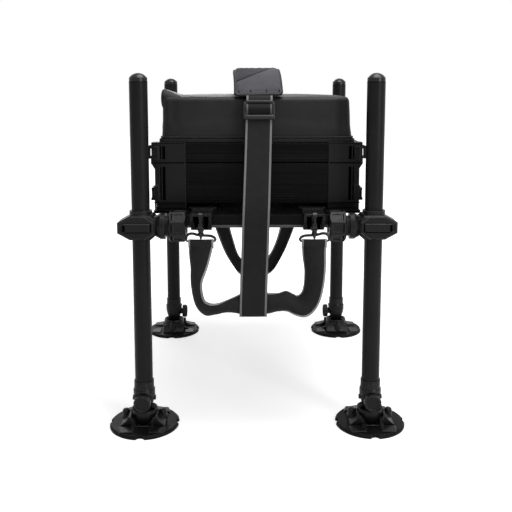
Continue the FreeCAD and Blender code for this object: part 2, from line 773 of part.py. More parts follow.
def moulding(low, high, foot):
    body = side_prism(moulding_outline(low, high), -BOX_HALF_Y, -BOX_HALF_Y + MOULDING_Y)
    room = block(
        -BOX_HALF_X + MOULDING_WALL, -BOX_HALF_X + MOULDING_X + 1,
        -BOX_HALF_Y + MOULDING_WALL, -BOX_HALF_Y + MOULDING_Y + 1,
        low - 1, high + 1,
    )
    body = body.cut(room)
    first = -BOX_HALF_X + SLOT_FROM_END
    for i in range(2):
        x = first + i * SLOT_GAP
        slot = block(
            x, x + SLOT_WIDTH, -BOX_HALF_Y - 1, -BOX_HALF_Y + SLOT_DEPTH,
            low + SLOT_FOOT, high - SLOT_HEAD,
        )
        body = body.cut(slot)
    plate_low = low + SLOT_FOOT
    pad = block(
        first - PLATE_START, first - PLATE_END, -BOX_HALF_Y - PLATE_PROUD, -BOX_HALF_Y + 1,
        plate_low, plate_low + min(PLATE_TALLEST, high - SLOT_HEAD - plate_low),
    )
    shapes = [body, pad]
    if foot > 0:
        shapes.append(
            block(
                -BOX_HALF_X + FOOT_RECESS, -BOX_HALF_X + MOULDING_X,
                -BOX_HALF_Y + FOOT_RECESS,
                -BOX_HALF_Y + MOULDING_WALL + MOULDING_FOOT_PAST_WALL,
                low - foot, low,
            )
        )
    return joined(shapes)


def clip_axis(low, high):
    """The pin of the rear clips of one module: just outside the keeper that they hook under."""
    x = end_face(low, high) - KEEPER_THICK - CLIP_NIB - 2 * LOOSE - CLIP_THICK / 2
    rise = KEEPER_RISE_UPPER if high > LOWER_TOP else KEEPER_RISE_LOWER - MODULE_FOOT
    return x, low + rise - 2 * CLIP_NIB_HEIGHT - LOOSE + CLIP_LENGTH


def clip_ears(low, high):
    """Two ears and their pin, moulded on the end of the rear right corner."""
    x, z = clip_axis(low, high)
    reach = CLIP_THICK / 2
    tall = CLIP_EAR_HALF_HEIGHT
    shapes = []
    for side in (-1, 1):
        inner = -CLIP_Y + side * (CLIP_WIDTH / 2 + LOOSE)
        y0, y1 = sorted([inner, inner + side * CLIP_EAR])
        shapes.append(block(x - reach, end_face(low, high) + 1, y0, y1, z - tall, z + tall))
    half = CLIP_WIDTH / 2 + LOOSE + CLIP_EAR / 2
    shapes.append(rod(CLIP_PIN_RADIUS, 2 * half, V(x, -CLIP_Y - half, z), Y_AXIS))
    return shapes


def keeper(face, root, low, high):
    """An upright tab with a nib at its top, which the rear right clip hooks under."""
    outer = face - LOOSE - KEEPER_THICK
    y0 = -CLIP_Y - KEEPER_HALF
    y1 = -CLIP_Y + KEEPER_HALF
    tab = block(outer, face - LOOSE, y0, y1, low, high)
    nib = block(outer - CLIP_NIB, outer, y0, y1, high - CLIP_NIB_HEIGHT, high)
    foot = block(outer, root, y0, y1, low, low + KEEPER_THICK)
    return joined([tab, nib, foot])


def corner_mouldings(low, high, foot):
    pieces = [moulding(low, high, foot), *clip_ears(low, high)]
    if foot > 0:
        pieces.append(
            keeper(
                end_face(UPPER_Z, UPPER_TOP), -BOX_HALF_X + 2, high - KEEPER_THICK - 1,
                UPPER_Z + KEEPER_RISE_UPPER,
            )
        )
    corner = joined(pieces)
    return [mirrored(corner, sx, sy) for sx, sy in CORNERS.values()]


def clip(sx, sy, low, high):
    x, z = clip_axis(low, high)
    y = -CLIP_Y
    half = CLIP_WIDTH / 2
    reach = CLIP_THICK / 2
    hub = rod(reach, CLIP_WIDTH, V(x, y - half, z), Y_AXIS)
    plate = block(
        x - reach, x + reach - CLIP_PLATE_SETBACK, y - half, y + half, z - CLIP_LENGTH, z
    )
    nib = block(
        x, x + reach + CLIP_NIB, y - half, y + half, z - CLIP_LENGTH,
        z - CLIP_LENGTH + CLIP_NIB_HEIGHT,
    )
    grip = block(
        x - reach - CLIP_GRIP, x, y - half, y + half, z - CLIP_LENGTH,
        z - CLIP_LENGTH + CLIP_GRIP_HEIGHT,
    )
    body = joined([hub, plate, nib, grip])
    body = body.cut(rod(CLIP_PIN_RADIUS + RUN, CLIP_WIDTH, V(x, y - half, z), Y_AXIS))
    return mirrored(body, sx, sy)


def side_panel(low, high):
    half = BOX_HALF_X - MOULDING_X
    face = -BOX_HALF_Y + (MOULDING_WALL - PANEL_THICK)
    body = block(
        -half, half, face, face + PANEL_THICK, low + PANEL_MARGIN, high - PANEL_MARGIN
    )
    tall = high - low
    grooves = int(tall / RIB_SPACING)
    pitch = tall * RIBBED_SHARE / grooves
    for i in range(grooves):
        z = low + RIB_FIRST + pitch * i
        body = body.cut(block(-half, half, face - 1, face + RIB_DEPTH, z, z + RIB_WIDTH))
    band = block(
        -half, half, face - PANEL_BAND_PROUD, face + 1, high - PANEL_BAND_SHARE * tall,
        high - 2 * PANEL_MARGIN,
    )
    return joined([body, band])


def casing(low, high):
    front = BOX_HALF_X - MOULDING_WALL - 3
    floor = block(CASING_REAR, front, -CASING_OUT, CASING_OUT, low, low + CASING_FLOOR)
    rear = block(
        CASING_REAR, CASING_REAR + CASING_WALL, -CASING_OUT, CASING_OUT, low, high - 1
    )
    sides = [
        block(CASING_REAR, front, -CASING_OUT, -CASING_IN, low, high - 1),
        block(CASING_REAR, front, CASING_IN, CASING_OUT, low, high - 1),
    ]
    return joined([floor, rear, *sides])


def runner(y_sign, top):
    """An angle on the casing wall, under the drawer's guide."""
    inner = DRAWER_HALF_Y + SLIDE
    front = BOX_HALF_X - MOULDING_WALL - 4
    rear = CASING_REAR + CASING_WALL + 2
    plate = block(
        rear, front, -CASING_IN, -CASING_IN + RUNNER_PLATE, top - RUNNER_HEIGHT, top
    )
    ledge = block(rear, front, -CASING_IN, -inner, top - RUNNER_PLATE, top)
    body = joined([plate, ledge])
    return body if y_sign < 0 else body.mirror(V(0, 0, 0), Y_AXIS)


def runner_top(low, height):
    return low + CASING_FLOOR + SLIDE + height * GUIDE_SHARE


def drawer(low, high, height):
    z0 = low + CASING_FLOOR + SLIDE
    z1 = z0 + height
    rear = CASING_REAR + CASING_WALL + DRAWER_REAR_GAP
    face = BOX_HALF_X - 1
    back = face - DRAWER_FRONT
    tray = block(rear, back, -DRAWER_HALF_Y, DRAWER_HALF_Y, z0, z1)
    hollow = block(
        rear + DRAWER_WALL, back, -DRAWER_HALF_Y + DRAWER_WALL, DRAWER_HALF_Y - DRAWER_WALL,
        z0 + DRAWER_WALL, z1 + 1,
    )
    tray = tray.cut(hollow)
    front_half = BOX_HALF_Y - MOULDING_Y - SLIDE
    front = block(back, face, -front_half, front_half, low + 1, high - 1.5)
    pull_z = (z0 + z1) / 2
    pull = block(
        face - 1, face + PULL_DEPTH, -PULL_HALF_Y, PULL_HALF_Y, pull_z - PULL_HEIGHT / 2,
        pull_z + PULL_HEIGHT / 2,
    )
    lower_pull_edges = [
        e for e in pull.Edges
        if e.BoundBox.XMin > face + PULL_DEPTH - 0.1 and e.BoundBox.YLength > PULL_HALF_Y
    ]
    pull = pull.makeFillet(PULL_ROUND, lower_pull_edges)
    scoop = block(
        face - 2, face + PULL_DEPTH - PULL_WALL, -PULL_HALF_Y + PULL_WALL,
        PULL_HALF_Y - PULL_WALL, pull_z - PULL_HEIGHT / 2 - CUT_PAST,
        pull_z + PULL_HEIGHT / 2 - PULL_WALL,
    )
    pull = pull.cut(scoop)
    top = runner_top(low, height) + SLIDE / 2
    guides = []
    for side in (-1, 1):
        y0, y1 = sorted([side * (DRAWER_HALF_Y - 1), side * (DRAWER_HALF_Y + GUIDE_WIDTH)])
        guides.append(block(rear, back + 1, y0, y1, top, top + GUIDE_HEIGHT))
    return joined([tray, front, pull, *guides])


# Seat


def seat_base():
    board = block(
        -SEAT_BASE_HALF_X, SEAT_BASE_HALF_X, -SEAT_BASE_HALF_Y, SEAT_BASE_HALF_Y,
        SEAT_Z, SEAT_Z + SEAT_BASE_THICK,
    )
    upright = [e for e in board.Edges if e.BoundBox.ZLength > SEAT_BASE_THICK / 2]
    board = board.makeFillet(CUSHION_ROUND, upright)
    key_x = BOX_HALF_X - MOULDING_WALL - SEAT_KEY_GAP_X
    key_y = CASING_IN - SEAT_KEY_GAP_Y
    key = block(-key_x, key_x, -key_y, key_y, SEAT_Z - SEAT_KEY_DEPTH, SEAT_Z + 1)
    room_x = key_x - SEAT_KEY_WALL
    room_y = key_y - SEAT_KEY_WALL
    room = block(
        -room_x, room_x, -room_y, room_y, SEAT_Z - SEAT_KEY_DEPTH - CUT_PAST, SEAT_Z
    )
    return joined([board, key.cut(room)])


def seat_cushion():
    low = CUSHION_Z + LOOSE
    body = block(
        -CUSHION_HALF_X, CUSHION_HALF_X, -CUSHION_HALF_Y, CUSHION_HALF_Y, low, CUSHION_TOP
    )
    lip = prism(
        [
            V(-CUSHION_HALF_X, -CUSHION_HALF_Y, CUSHION_TOP - LIP_ROOT),
            V(-CUSHION_HALF_X, -CUSHION_HALF_Y, CUSHION_TOP + LIP_HEIGHT),
            V(-CUSHION_HALF_X, CUSHION_HALF_Y, CUSHION_TOP - 1),
            V(-CUSHION_HALF_X, CUSHION_HALF_Y, CUSHION_TOP - LIP_ROOT),
        ],
        V(LIP_WIDTH, 0, 0),
    )
    edges = [e for e in body.Edges if e.BoundBox.ZMax > low + 1]
    body = body.makeFillet(CUSHION_ROUND, edges)
    shell = block(
        -CUSHION_HALF_X, CUSHION_HALF_X, -CUSHION_HALF_Y, CUSHION_HALF_Y, low,
        CUSHION_TOP + LIP_HEIGHT,
    )
    uprights = [e for e in shell.Edges if e.BoundBox.ZLength > LIP_HEIGHT]
    shell = shell.makeFillet(CUSHION_ROUND, uprights)
    return joined([body, lip.common(shell)])


# Strap brackets and hooks, made on the right side at X 0


def strap_bracket():
    half = BRACKET_WIDTH / 2
    face = RAIL_FACE + RUN
    top = RAIL_TOP
    over = block(
        -half, half, -face - BRACKET_PLATE, -BRACKET_TAIL, top, top + BRACKET_PLATE
    )
    wide = BRACKET_FLANGE_WIDTH / 2
    tail = prism(
        [
            V(-wide, -BRACKET_TAIL, top),
            V(wide, -BRACKET_TAIL, top),
            V(half, -BRACKET_TAIL - BRACKET_TAPER, top),
            V(-half, -BRACKET_TAIL - BRACKET_TAPER, top),
        ],
        V(0, 0, BRACKET_PLATE + BRACKET_TAIL_RISE),
    )
    low = top - BRACKET_DROP
    front = block(-half, half, -face - BRACKET_PLATE, -face, low, top + 1)
    hook_under = block(
        -half, half, -face - BRACKET_PLATE, -RAIL_INNER - BRACKET_HEEL, low, RAIL_BOTTOM - RUN
    )
    shapes = [over, tail, front, hook_under]
    tip = -face - BRACKET_PLATE - HOOK_Y_OUT - EAR_PAST_BAR
    for side in (-1, 1):
        x0, x1 = sorted([side * half, side * (half - EAR_THICK)])
        ear = prism(
            [
                V(x0, -face, top + BRACKET_PLATE),
                V(x0, tip, top + BRACKET_PLATE + EAR_RISE),
                V(x0, tip, top - EAR_DROP),
                V(x0, -face - BRACKET_PLATE - EAR_FOOT, low + EAR_FOOT),
                V(x0, -face, low + EAR_FOOT),
            ],
            V(x1 - x0, 0, 0),
        )
        shapes.append(ear)
    bar = rod(BAR_DIAMETER / 2, 2 * half - 2, V(-half + 1, -HOOK_Y, BAR_Z), X_AXIS)
    shapes.append(bar)
    return joined(shapes)


def long_ring(half_outer, x0, x1):
    """A plate with two round ends, standing across the bracket's bar."""
    y = -HOOK_Y
    length = x1 - x0
    return joined([
        block(x0, x1, y - half_outer, y + half_outer, HOOK_LOW_CENTRE, HOOK_TOP_CENTRE),
        rod(half_outer, length, V(x0, y, HOOK_TOP_CENTRE), X_AXIS),
        rod(half_outer, length, V(x0, y, HOOK_LOW_CENTRE), X_AXIS),
    ])


def gate_pivot():
    """The gate turns on the hook at the foot of its opening."""
    return -HOOK_Y - HOOK_HALF_INNER - HOOK_WIRE / 2, HOOK_LOW_CENTRE + HOOK_WIRE / 2


def snap_hook():
    half = HOOK_THICK / 2
    body = long_ring(HOOK_HALF_INNER + HOOK_WIRE, -half, half)
    body = body.cut(long_ring(HOOK_HALF_INNER, -half, half))
    y = -HOOK_Y
    opening = block(
        -half, half, y - HOOK_HALF_INNER - HOOK_WIRE - 1, y - HOOK_HALF_INNER + 1,
        HOOK_LOW_CENTRE - LOOSE, HOOK_TOP_CENTRE,
    )
    body = body.cut(opening)
    pivot_y, pivot_z = gate_pivot()
    fork = block(
        -half, half, pivot_y - HOOK_WIRE / 2, pivot_y + HOOK_WIRE / 2,
        HOOK_LOW_CENTRE - 1, pivot_z + 2,
    )
    gap = block(
        -half + GATE_FORK_WALL, half - GATE_FORK_WALL, pivot_y - HOOK_WIRE, pivot_y + HOOK_WIRE,
        HOOK_LOW_CENTRE - 0.5, pivot_z + 3,
    )
    pin = rod(GATE_PIN_RADIUS, HOOK_THICK - 1, V(-half + 0.5, pivot_y, pivot_z), X_AXIS)
    swivel = rod(SWIVEL_RADIUS, SWIVEL_HEIGHT, V(0, y, HOOK_BOTTOM - SWIVEL_HEIGHT / 2), Z_AXIS)
    eye = tube(
        EYE_RADIUS + EYE_WIRE, EYE_RADIUS, EYE_THICK, V(-EYE_THICK / 2, y, EYE_Z), X_AXIS
    )
    stem = swivel.cut(rod(EYE_RADIUS + 1, EYE_THICK, V(-EYE_THICK / 2, y, EYE_Z), X_AXIS))
    return joined([body, fork.cut(gap), pin, stem, eye])


def hook_gate():
    pivot_y, pivot_z = gate_pivot()
    half = HOOK_THICK / 2 - GATE_FORK_WALL - LOOSE
    slim = HOOK_WIRE / 2 - GATE_SLIM
    arm = block(
        -half, half, pivot_y - slim, pivot_y + slim,
        pivot_z, HOOK_TOP_CENTRE - LOOSE,
    )
    at = V(-half, pivot_y, pivot_z)
    hub = rod(slim, 2 * half, at, X_AXIS)
    return joined([arm, hub]).cut(rod(GATE_PIN_RADIUS + RUN, 2 * half, at, X_AXIS))


def wire(points, radius):
    """A closed loop of wire through points, with round corners as balls."""
    shapes = []
    for i, start in enumerate(points):
        end = points[(i + 1) % len(points)]
        run = end.sub(start)
        shapes.append(rod(radius, run.Length, start, run))
        shapes.append(Part.makeSphere(radius, start))
    return joined(shapes)


def harness_ring():
    y = -HOOK_Y
    points = [
        V(-RING_CROWN_HALF, y, RING_TOP),
        V(RING_CROWN_HALF, y, RING_TOP),
        V(RING_HALF - RING_SHOULDER_IN, y, RING_TOP - RING_SHOULDER_DROP),
        V(RING_HALF, y, RING_TOP - RING_SIDE_DROP),
        V(RING_HALF, y, RING_LOW),
        V(-RING_HALF, y, RING_LOW),
        V(-RING_HALF, y, RING_TOP - RING_SIDE_DROP),
        V(-RING_HALF + RING_SHOULDER_IN, y, RING_TOP - RING_SHOULDER_DROP),
    ]
    return wire(points, RING_WIRE / 2)


def on_bracket(shape, sx, sy):
    shape = shape.copy()
    shape.translate(V(-BRACKET_X, 0, 0))
    return mirrored(shape, sx, sy)


def four(shape):
    return [on_bracket(shape, sx, sy) for sx, sy in CORNERS.values()]


# Harness


def band(outline_out, outline_in, x0, x1):
    return end_prism([*outline_out, *reversed(outline_in)], x0, x1)


def strap_drop(loop_z):
    """One end of the central strap on the right side: down past the rail, then a loop."""
    half = STRAP_WIDTH / 2
    thick = STRAP_THICK
    leaf = STRAP_LEAF_Y
    split = loop_z + LOOP_LENGTH
    inner = [
        (-leaf, split),
        (-leaf, STRAP_BEND_Z),
        (-STRAP_SHOULDER_Y, STRAP_SHOULDER_Z),
        (-PAD_HALF_Y - LOOSE, PAD_END_Z - PAD_END_SLANT),
    ]
    down = band(inner, [(y - thick, z) for y, z in inner], -half, half)
    outer = leaf + 2 * thick + STRAP_GAP
    loop = block(-half, half, -outer, -leaf, loop_z, split)
    inside = block(
        -half, half, -outer + thick, -leaf - thick, loop_z + thick, split - thick
    )
    return joined([down, loop.cut(inside)])


def arc_band(y_half, end_z, crest, thick, x0, x1):
    """A band that arches over the seat from side to side."""
    ends = [V(x0, -y_half, end_z), V(x0, y_half, end_z)]
    inner_half = y_half - PAD_END_SLANT
    inner_ends = [V(x0, -inner_half, end_z - thick), V(x0, inner_half, end_z - thick)]
    outer = Part.Arc(ends[0], V(x0, 0, crest), ends[1]).toShape()
    inner = Part.Arc(inner_ends[1], V(x0, 0, crest - thick), inner_ends[0]).toShape()
    left = Part.LineSegment(ends[1], inner_ends[1]).toShape()
    right = Part.LineSegment(inner_ends[0], ends[0]).toShape()
    face = Part.Face(Part.Wire([outer, left, inner, right]))
    return face.extrude(V(x1 - x0, 0, 0))


def shoulder_pad():
    return arc_band(
        PAD_HALF_Y, PAD_END_Z, PAD_CREST, PAD_THICK, PAD_X - PAD_HALF_X, PAD_X + PAD_HALF_X
    )


def strap_buckle():
    """A ladder buckle lying on the sloping strap, just below the seat's edge."""
    half = BUCKLE_WIDTH / 2
    side = half - BUCKLE_BAR
    frame = block(-half, half, -BUCKLE_THICK, 0, -BUCKLE_HEIGHT, 0)
    upper = block(-side, side, -BUCKLE_THICK - 1, 1, -BUCKLE_BAR - BUCKLE_SLOT, -BUCKLE_BAR)
    lower = block(
        -side, side, -BUCKLE_THICK - 1, 1, BUCKLE_BAR - BUCKLE_HEIGHT,
        BUCKLE_BAR - BUCKLE_HEIGHT + BUCKLE_SLOT,
    )
    frame = frame.cut(upper).cut(lower)
    lean = math.atan2(STRAP_LEAF_Y - STRAP_SHOULDER_Y, STRAP_SHOULDER_Z - STRAP_BEND_Z)
    frame.translate(V(0, -LOOSE, -LOOSE))
    frame.rotate(V(0, 0, 0), X_AXIS, -math.degrees(lean))
    frame.translate(V(0, -STRAP_SHOULDER_Y - STRAP_THICK, STRAP_SHOULDER_Z))
    return frame


def yoke(loop_z):
    """Webbing from ring to ring on the right side, hanging through the central strap's loop."""
    top = RING_LOW - RING_WIRE / 2 - LOOSE
    outer = BRACKET_X + WEB_WIDTH / 2
    inner = BRACKET_X - WEB_WIDTH / 2
    low = loop_z + STRAP_THICK + LOOSE
    strap_half = STRAP_WIDTH / 2
    drop = top - low
    side = [
        (outer, top),
        (outer, low + 0.30 * drop),
        (outer - 12, low + 0.06 * drop),
        (outer - 32, low - 6),
        (strap_half + 6, low),
    ]
    inside = [
        (strap_half + 6, low + WEB_WIDTH),
        (inner - 14, low + WEB_WIDTH + 4),
        (inner - 2, low + 0.44 * drop),
        (inner, top),
    ]
    outline = [*side, *[(-x, z) for x, z in reversed(side)]]
    outline += [(-x, z) for x, z in reversed(inside)]
    outline += inside
    y = -HOOK_Y
    return side_prism(outline, y - WEB_THICK / 2, y + WEB_THICK / 2)


def flipped(shape):
    return shape.mirror(V(0, 0, 0), Y_AXIS)


def build():
    os.makedirs("parts", exist_ok=True)
    tube_shape = leg_tube()
    cap = leg_cap()
    sleeve = foot_sleeve()
    ball = foot_ball()
    disc = foot_disc()
    screw = foot_screw()
    housing = clamp_housing()
    liner = clamp_liner()
    nut = clamp_nut()
    gate = hook_gate()
    for name, (sx, sy) in CORNERS.items():
        turn = foot_turn(name)
        save("leg_" + name, at_corner(tube_shape, name), at_corner(cap, name))
        save("foot_sleeve_" + name, at_corner(sleeve, name, turn))
        save("foot_ball_" + name, at_corner(ball, name))
        save("foot_disc_" + name, at_corner(disc, name, turn))
        save("foot_screw_" + name, at_corner(screw, name, turn))
        save("clamp_housing_" + name, on_leg(housing, name))
        save("clamp_nut_" + name, on_leg(nut, name))
        save("hook_gate_" + name, on_bracket(gate, sx, sy))
    save("clamp_liners", *[on_leg(liner, name) for name in CORNERS])

    rail = side_rail()
    save("side_rails", rail, flipped(rail))
    bar = cross_bar()
    bars = []
    for x in (-CROSS_X, CROSS_X):
        copy = bar.copy()
        copy.translate(V(x, 0, 0))
        bars.append(copy)
    bolts = frame_bolts()
    drill = [
        rod(BOLT_DIAMETER / 2, RAIL_TOP, V(b.BoundBox.Center.x, b.BoundBox.Center.y, 0), Z_AXIS)
        for b in bolts
    ]
    save("cross_bars", *[b.cut(drill) for b in bars])
    save("base_platform", platform().cut(bolts))
    save("frame_bolts", *bolts)

    lower = (LOWER_Z, LOWER_TOP)
    upper = (UPPER_Z, UPPER_TOP)
    save("lower_corner_mouldings", *corner_mouldings(*lower, MODULE_FOOT))
    save("upper_corner_mouldings", *corner_mouldings(*upper, 0))
    for level, (low, high) in (("lower", lower), ("upper", upper)):
        panel = side_panel(low, high)
        save(level + "_side_panels", panel, flipped(panel))
        save(level + "_casing", casing(low, high))
    save("lower_drawer", drawer(*lower, LOWER_DRAWER_HEIGHT))
    save("upper_drawer", drawer(*upper, UPPER_DRAWER_HEIGHT))
    tops = (
        runner_top(LOWER_Z, LOWER_DRAWER_HEIGHT),
        runner_top(UPPER_Z, UPPER_DRAWER_HEIGHT),
    )
    save("drawer_runners", *[runner(side, top) for top in tops for side in (-1, 1)])
    for end, sx in (("front", 1), ("rear", -1)):
        save(end + "_lower_clips", *[clip(sx, sy, *lower) for sy in (-1, 1)])
        save(end + "_upper_clips", *[clip(sx, sy, *upper) for sy in (-1, 1)])

    save("seat_base", seat_base())
    save("seat_cushion", seat_cushion())
    save("shoulder_pad", shoulder_pad())
    save("main_strap", strap_drop(NEAR_LOOP_Z), flipped(strap_drop(FAR_LOOP_Z)))
    save("strap_buckle", strap_buckle())
    save("strap_brackets", *four(strap_bracket()))
    save("snap_hooks", *four(snap_hook()))
    save("harness_rings", *four(harness_ring()))
    save("right_yoke", yoke(NEAR_LOOP_Z))
    save("left_yoke", flipped(yoke(FAR_LOOP_Z)))


build()
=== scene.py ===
import math

import bpy
import numpy as np
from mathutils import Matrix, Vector, kdtree, noise


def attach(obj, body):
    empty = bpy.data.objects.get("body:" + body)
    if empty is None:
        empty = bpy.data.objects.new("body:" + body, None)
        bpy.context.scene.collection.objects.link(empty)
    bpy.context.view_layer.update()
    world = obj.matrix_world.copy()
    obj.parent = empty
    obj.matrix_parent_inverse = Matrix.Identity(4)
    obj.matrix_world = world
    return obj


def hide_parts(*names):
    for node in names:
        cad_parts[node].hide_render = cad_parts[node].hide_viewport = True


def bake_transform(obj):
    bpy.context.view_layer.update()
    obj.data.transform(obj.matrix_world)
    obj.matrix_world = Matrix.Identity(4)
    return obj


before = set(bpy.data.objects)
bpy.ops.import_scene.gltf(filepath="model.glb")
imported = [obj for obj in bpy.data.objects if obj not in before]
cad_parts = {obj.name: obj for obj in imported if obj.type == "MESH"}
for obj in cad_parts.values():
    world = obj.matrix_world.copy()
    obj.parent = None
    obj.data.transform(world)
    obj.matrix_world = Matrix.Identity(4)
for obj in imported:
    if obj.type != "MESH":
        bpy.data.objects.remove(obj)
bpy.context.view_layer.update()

MM = 0.001


def mm(x, y, z):
    return Vector((x * MM, y * MM, z * MM))


# Camera: the photograph is taken from the right side, level with the seat

CAMERA_TILT, CAMERA_TURN = 0.1212, 0.0097
camera_data = bpy.data.cameras.new("camera")
camera_data.lens = 48.96
camera_data.sensor_width = 36.0
camera_data.shift_y = -0.155
camera_data.clip_end = 50.0
camera = bpy.data.objects.new("camera", camera_data)
camera.location = mm(-16.2, -1655.5, 680.9)
camera.rotation_euler = (math.pi / 2 - CAMERA_TILT, 0.0, -CAMERA_TURN)
bpy.context.scene.collection.objects.link(camera)
bpy.context.scene.camera = camera
bpy.context.scene.view_settings.view_transform = "Standard"


# Materials


class Graph:
    """Short calls that add nodes to a node tree."""

    def __init__(self, tree):
        self.nodes, self.links = tree.nodes, tree.links

    def put(self, socket, value):
        if isinstance(value, bpy.types.NodeSocket):
            self.links.new(value, socket)
        else:
            socket.default_value = value

    def node(self, kind, inputs=None, **values):
        """A node with its properties set, and its inputs set or linked."""
        made = self.nodes.new(kind)
        for key, value in values.items():
            setattr(made, key, value)
        for socket, value in (inputs or {}).items():
            self.put(made.inputs[socket], value)
        return made

    def math(self, operation, a, b=0.0):
        return self.node("ShaderNodeMath", {0: a, 1: b}, operation=operation).outputs[0]

    def range(self, value, low, high, to_low=0.0, to_high=1.0):
        limits = {1: low, 2: high, 3: to_low, 4: to_high}
        return self.node("ShaderNodeMapRange", {0: value, **limits}).outputs[0]

    def seen(self):
        """1 for what the camera sees, directly or in metal or glass, and 0 for what lights."""
        path = self.node("ShaderNodeLightPath").outputs
        direct = self.math("MAXIMUM", path["Is Camera Ray"], path["Is Glossy Ray"])
        return self.math("MAXIMUM", direct, path["Is Transmission Ray"])


class Shader(Graph):
    """A Principled material."""

    def __init__(self, name):
        self.material = bpy.data.materials.new(name)
        self.material.use_nodes = True
        super().__init__(self.material.node_tree)

    def surface(self, inputs):
        """Sets or links the inputs of the Principled shader, and gives back its material."""
        for socket, value in inputs.items():
            self.put(self.nodes["Principled BSDF"].inputs[socket], value)
        return self.material

    def place(self):
        return self.node("ShaderNodeTexCoord").outputs["Object"]

    def noise(self, where, scale, detail=2.0, roughness=0.5):
        settings = {"Scale": scale, "Detail": detail, "Roughness": roughness}
        return self.node("ShaderNodeTexNoise", {"Vector": where, **settings}).outputs["Fac"]

    def voronoi(self, where, scale):
        inputs = {"Vector": where, "Scale": scale}
        return self.node("ShaderNodeTexVoronoi", inputs).outputs["Distance"]

    def mix(self, share, a, b):
        return self.node("ShaderNodeMix", {0: share, 6: a, 7: b}, data_type="RGBA").outputs[2]

    def bump(self, height, distance, strength=1.0, normal=None):
        inputs = {"Strength": strength, "Distance": distance, "Height": height}
        if normal is not None:
            inputs["Normal"] = normal
        return self.node("ShaderNodeBump", inputs).outputs["Normal"]

    def edges(self, rounded):
        """1 on edges and 0 on flats, from a normal that is rounded over the edges.
        Wear and a painted highlight are laid where it is 1.
        """
        normal = self.node("ShaderNodeNewGeometry").outputs["Normal"]
        dot = self.node("ShaderNodeVectorMath", {0: rounded, 1: normal}, operation="DOT_PRODUCT")
        return self.range(dot.outputs["Value"], 0.998, 0.93)


def grey(level, tint=0.0):
    return (level, level, level * (1.0 + tint), 1.0)


MOULDED_TINT, VINYL_TINT, CLOTH_TINT = 0.02, 0.01, 0.12


def moulded(name, level, rough, grain=1800.0, relief=0.00005, edge=0.0005, wear_and_highlight=2.2, specular=0.5,
            metallic=0.0, rib_shade=0.0):
    """Moulded plastic, powder coat or anodised metal: grain, uneven sheen, and edges lightened
    partly for wear, partly as a painted highlight.
    A rib shade darkens and lightens it in long level lines: painted shade and painted highlight
    for the light on a ribbed panel."""
    s = Shader(name)

    def shade(times):
        return grey(level * times, MOULDED_TINT)

    where = s.place()
    normal = s.node("ShaderNodeBevel", {"Radius": edge}, samples=4).outputs["Normal"]
    broad = s.noise(where, 14.0, 4.0, 0.6)
    fine = s.noise(where, grain)
    smudge = s.noise(where, 90.0, 5.0, 0.65)
    colour = s.mix(s.range(broad, 0.3, 0.7), shade(0.8), shade(1.2))
    # Painted shade and painted highlight in long level lines, standing in for the light and shade
    # on a ribbed panel.
    if rib_shade:
        drawn_out = s.node("ShaderNodeVectorMath", {0: where, 1: (2.6, 2.6, 130.0)},
                           operation="MULTIPLY").outputs[0]
        lines = s.noise(drawn_out, 1.0, 1.0)
        colour = s.mix(s.range(lines, 0.36, 0.50), shade(1 - rib_shade), colour)
        colour = s.mix(s.range(lines, 0.55, 0.68), colour, shade(1 + 1.6 * rib_shade))
    # Edges are lightened here: partly wear, partly a painted highlight where the edges catch the
    # light.
    lighter_share = s.math("MULTIPLY", s.edges(normal), s.range(smudge, 0.2, 0.5, 0.45, 1.0))
    return s.surface({
        "Base Color": s.mix(lighter_share, colour, shade(wear_and_highlight)),
        "Roughness": s.range(smudge, 0.3, 0.7, rough - 0.06, rough + 0.07),
        "Normal": s.bump(fine, relief, 0.6, normal),
        "Metallic": metallic,
        "Specular IOR Level": specular,
    })


def vinyl(name, level):
    """Upholstery vinyl: pebbled grain with soft pulls."""
    s = Shader(name)
    where = s.place()
    pebble = s.math("MULTIPLY", s.voronoi(where, 620.0), 0.6)
    pulls = s.noise(where, 22.0, 3.0, 0.55)
    grain = s.math("ADD", pebble, s.math("MULTIPLY", s.noise(where, 1400.0), 0.4))
    return s.surface({
        "Base Color": s.mix(s.range(pulls, 0.3, 0.7), grey(level * 0.85, VINYL_TINT),
                            grey(level * 1.15, VINYL_TINT)),
        "Roughness": s.range(pulls, 0.3, 0.7, 0.42, 0.52),
        "Normal": s.bump(grain, 0.00012, 0.5, s.bump(pulls, 0.0008, 0.4)),
        "Specular IOR Level": 0.13,
    })


def webbing(name, half, level, edge_level, edge_width):
    """Woven webbing with a pale stitched line along each edge. The mesh's UV is metres across
    from the middle and metres along."""
    s = Shader(name)

    def wave(distance, pitch):
        return s.math("SINE", s.math("MULTIPLY", distance, 2 * math.pi / pitch))

    uv = s.node("ShaderNodeUVMap").outputs["UV"]
    across, along, _ = s.node("ShaderNodeSeparateXYZ", {0: uv}).outputs
    side = s.math("ABSOLUTE", across)
    slant = s.math("ADD", along, s.math("MULTIPLY", side, 0.8))
    weave = s.math("ADD", s.math("MULTIPLY", wave(slant, 0.0024), 0.6),
                   s.math("MULTIPLY", wave(across, 0.0018), 0.4))
    light = s.math("MULTIPLY", s.range(side, half - edge_width - 0.0004, half - edge_width),
                   s.range(side, half - 0.0002, half - 0.0008))
    dashes = s.range(wave(slant, 0.0032), -0.6, 0.2)
    light = s.math("MULTIPLY", light, s.math("ADD", 0.55, s.math("MULTIPLY", dashes, 0.45)))
    lighter_share = s.noise(s.place(), 60.0, 4.0, 0.6)
    cloth = s.mix(s.range(lighter_share, 0.3, 0.7), grey(level * 0.8), grey(level * 1.25))
    cloth = s.mix(s.range(weave, -1.0, 1.0), s.mix(0.35, cloth, grey(level * 0.4)), cloth)
    return s.surface({
        "Base Color": s.mix(light, cloth, grey(edge_level)),
        "Roughness": 0.78,
        "Specular IOR Level": 0.15,
        "Sheen Weight": 0.05,
        "Sheen Roughness": 0.5,
        "Normal": s.bump(weave, 0.00025, 0.8),
    })


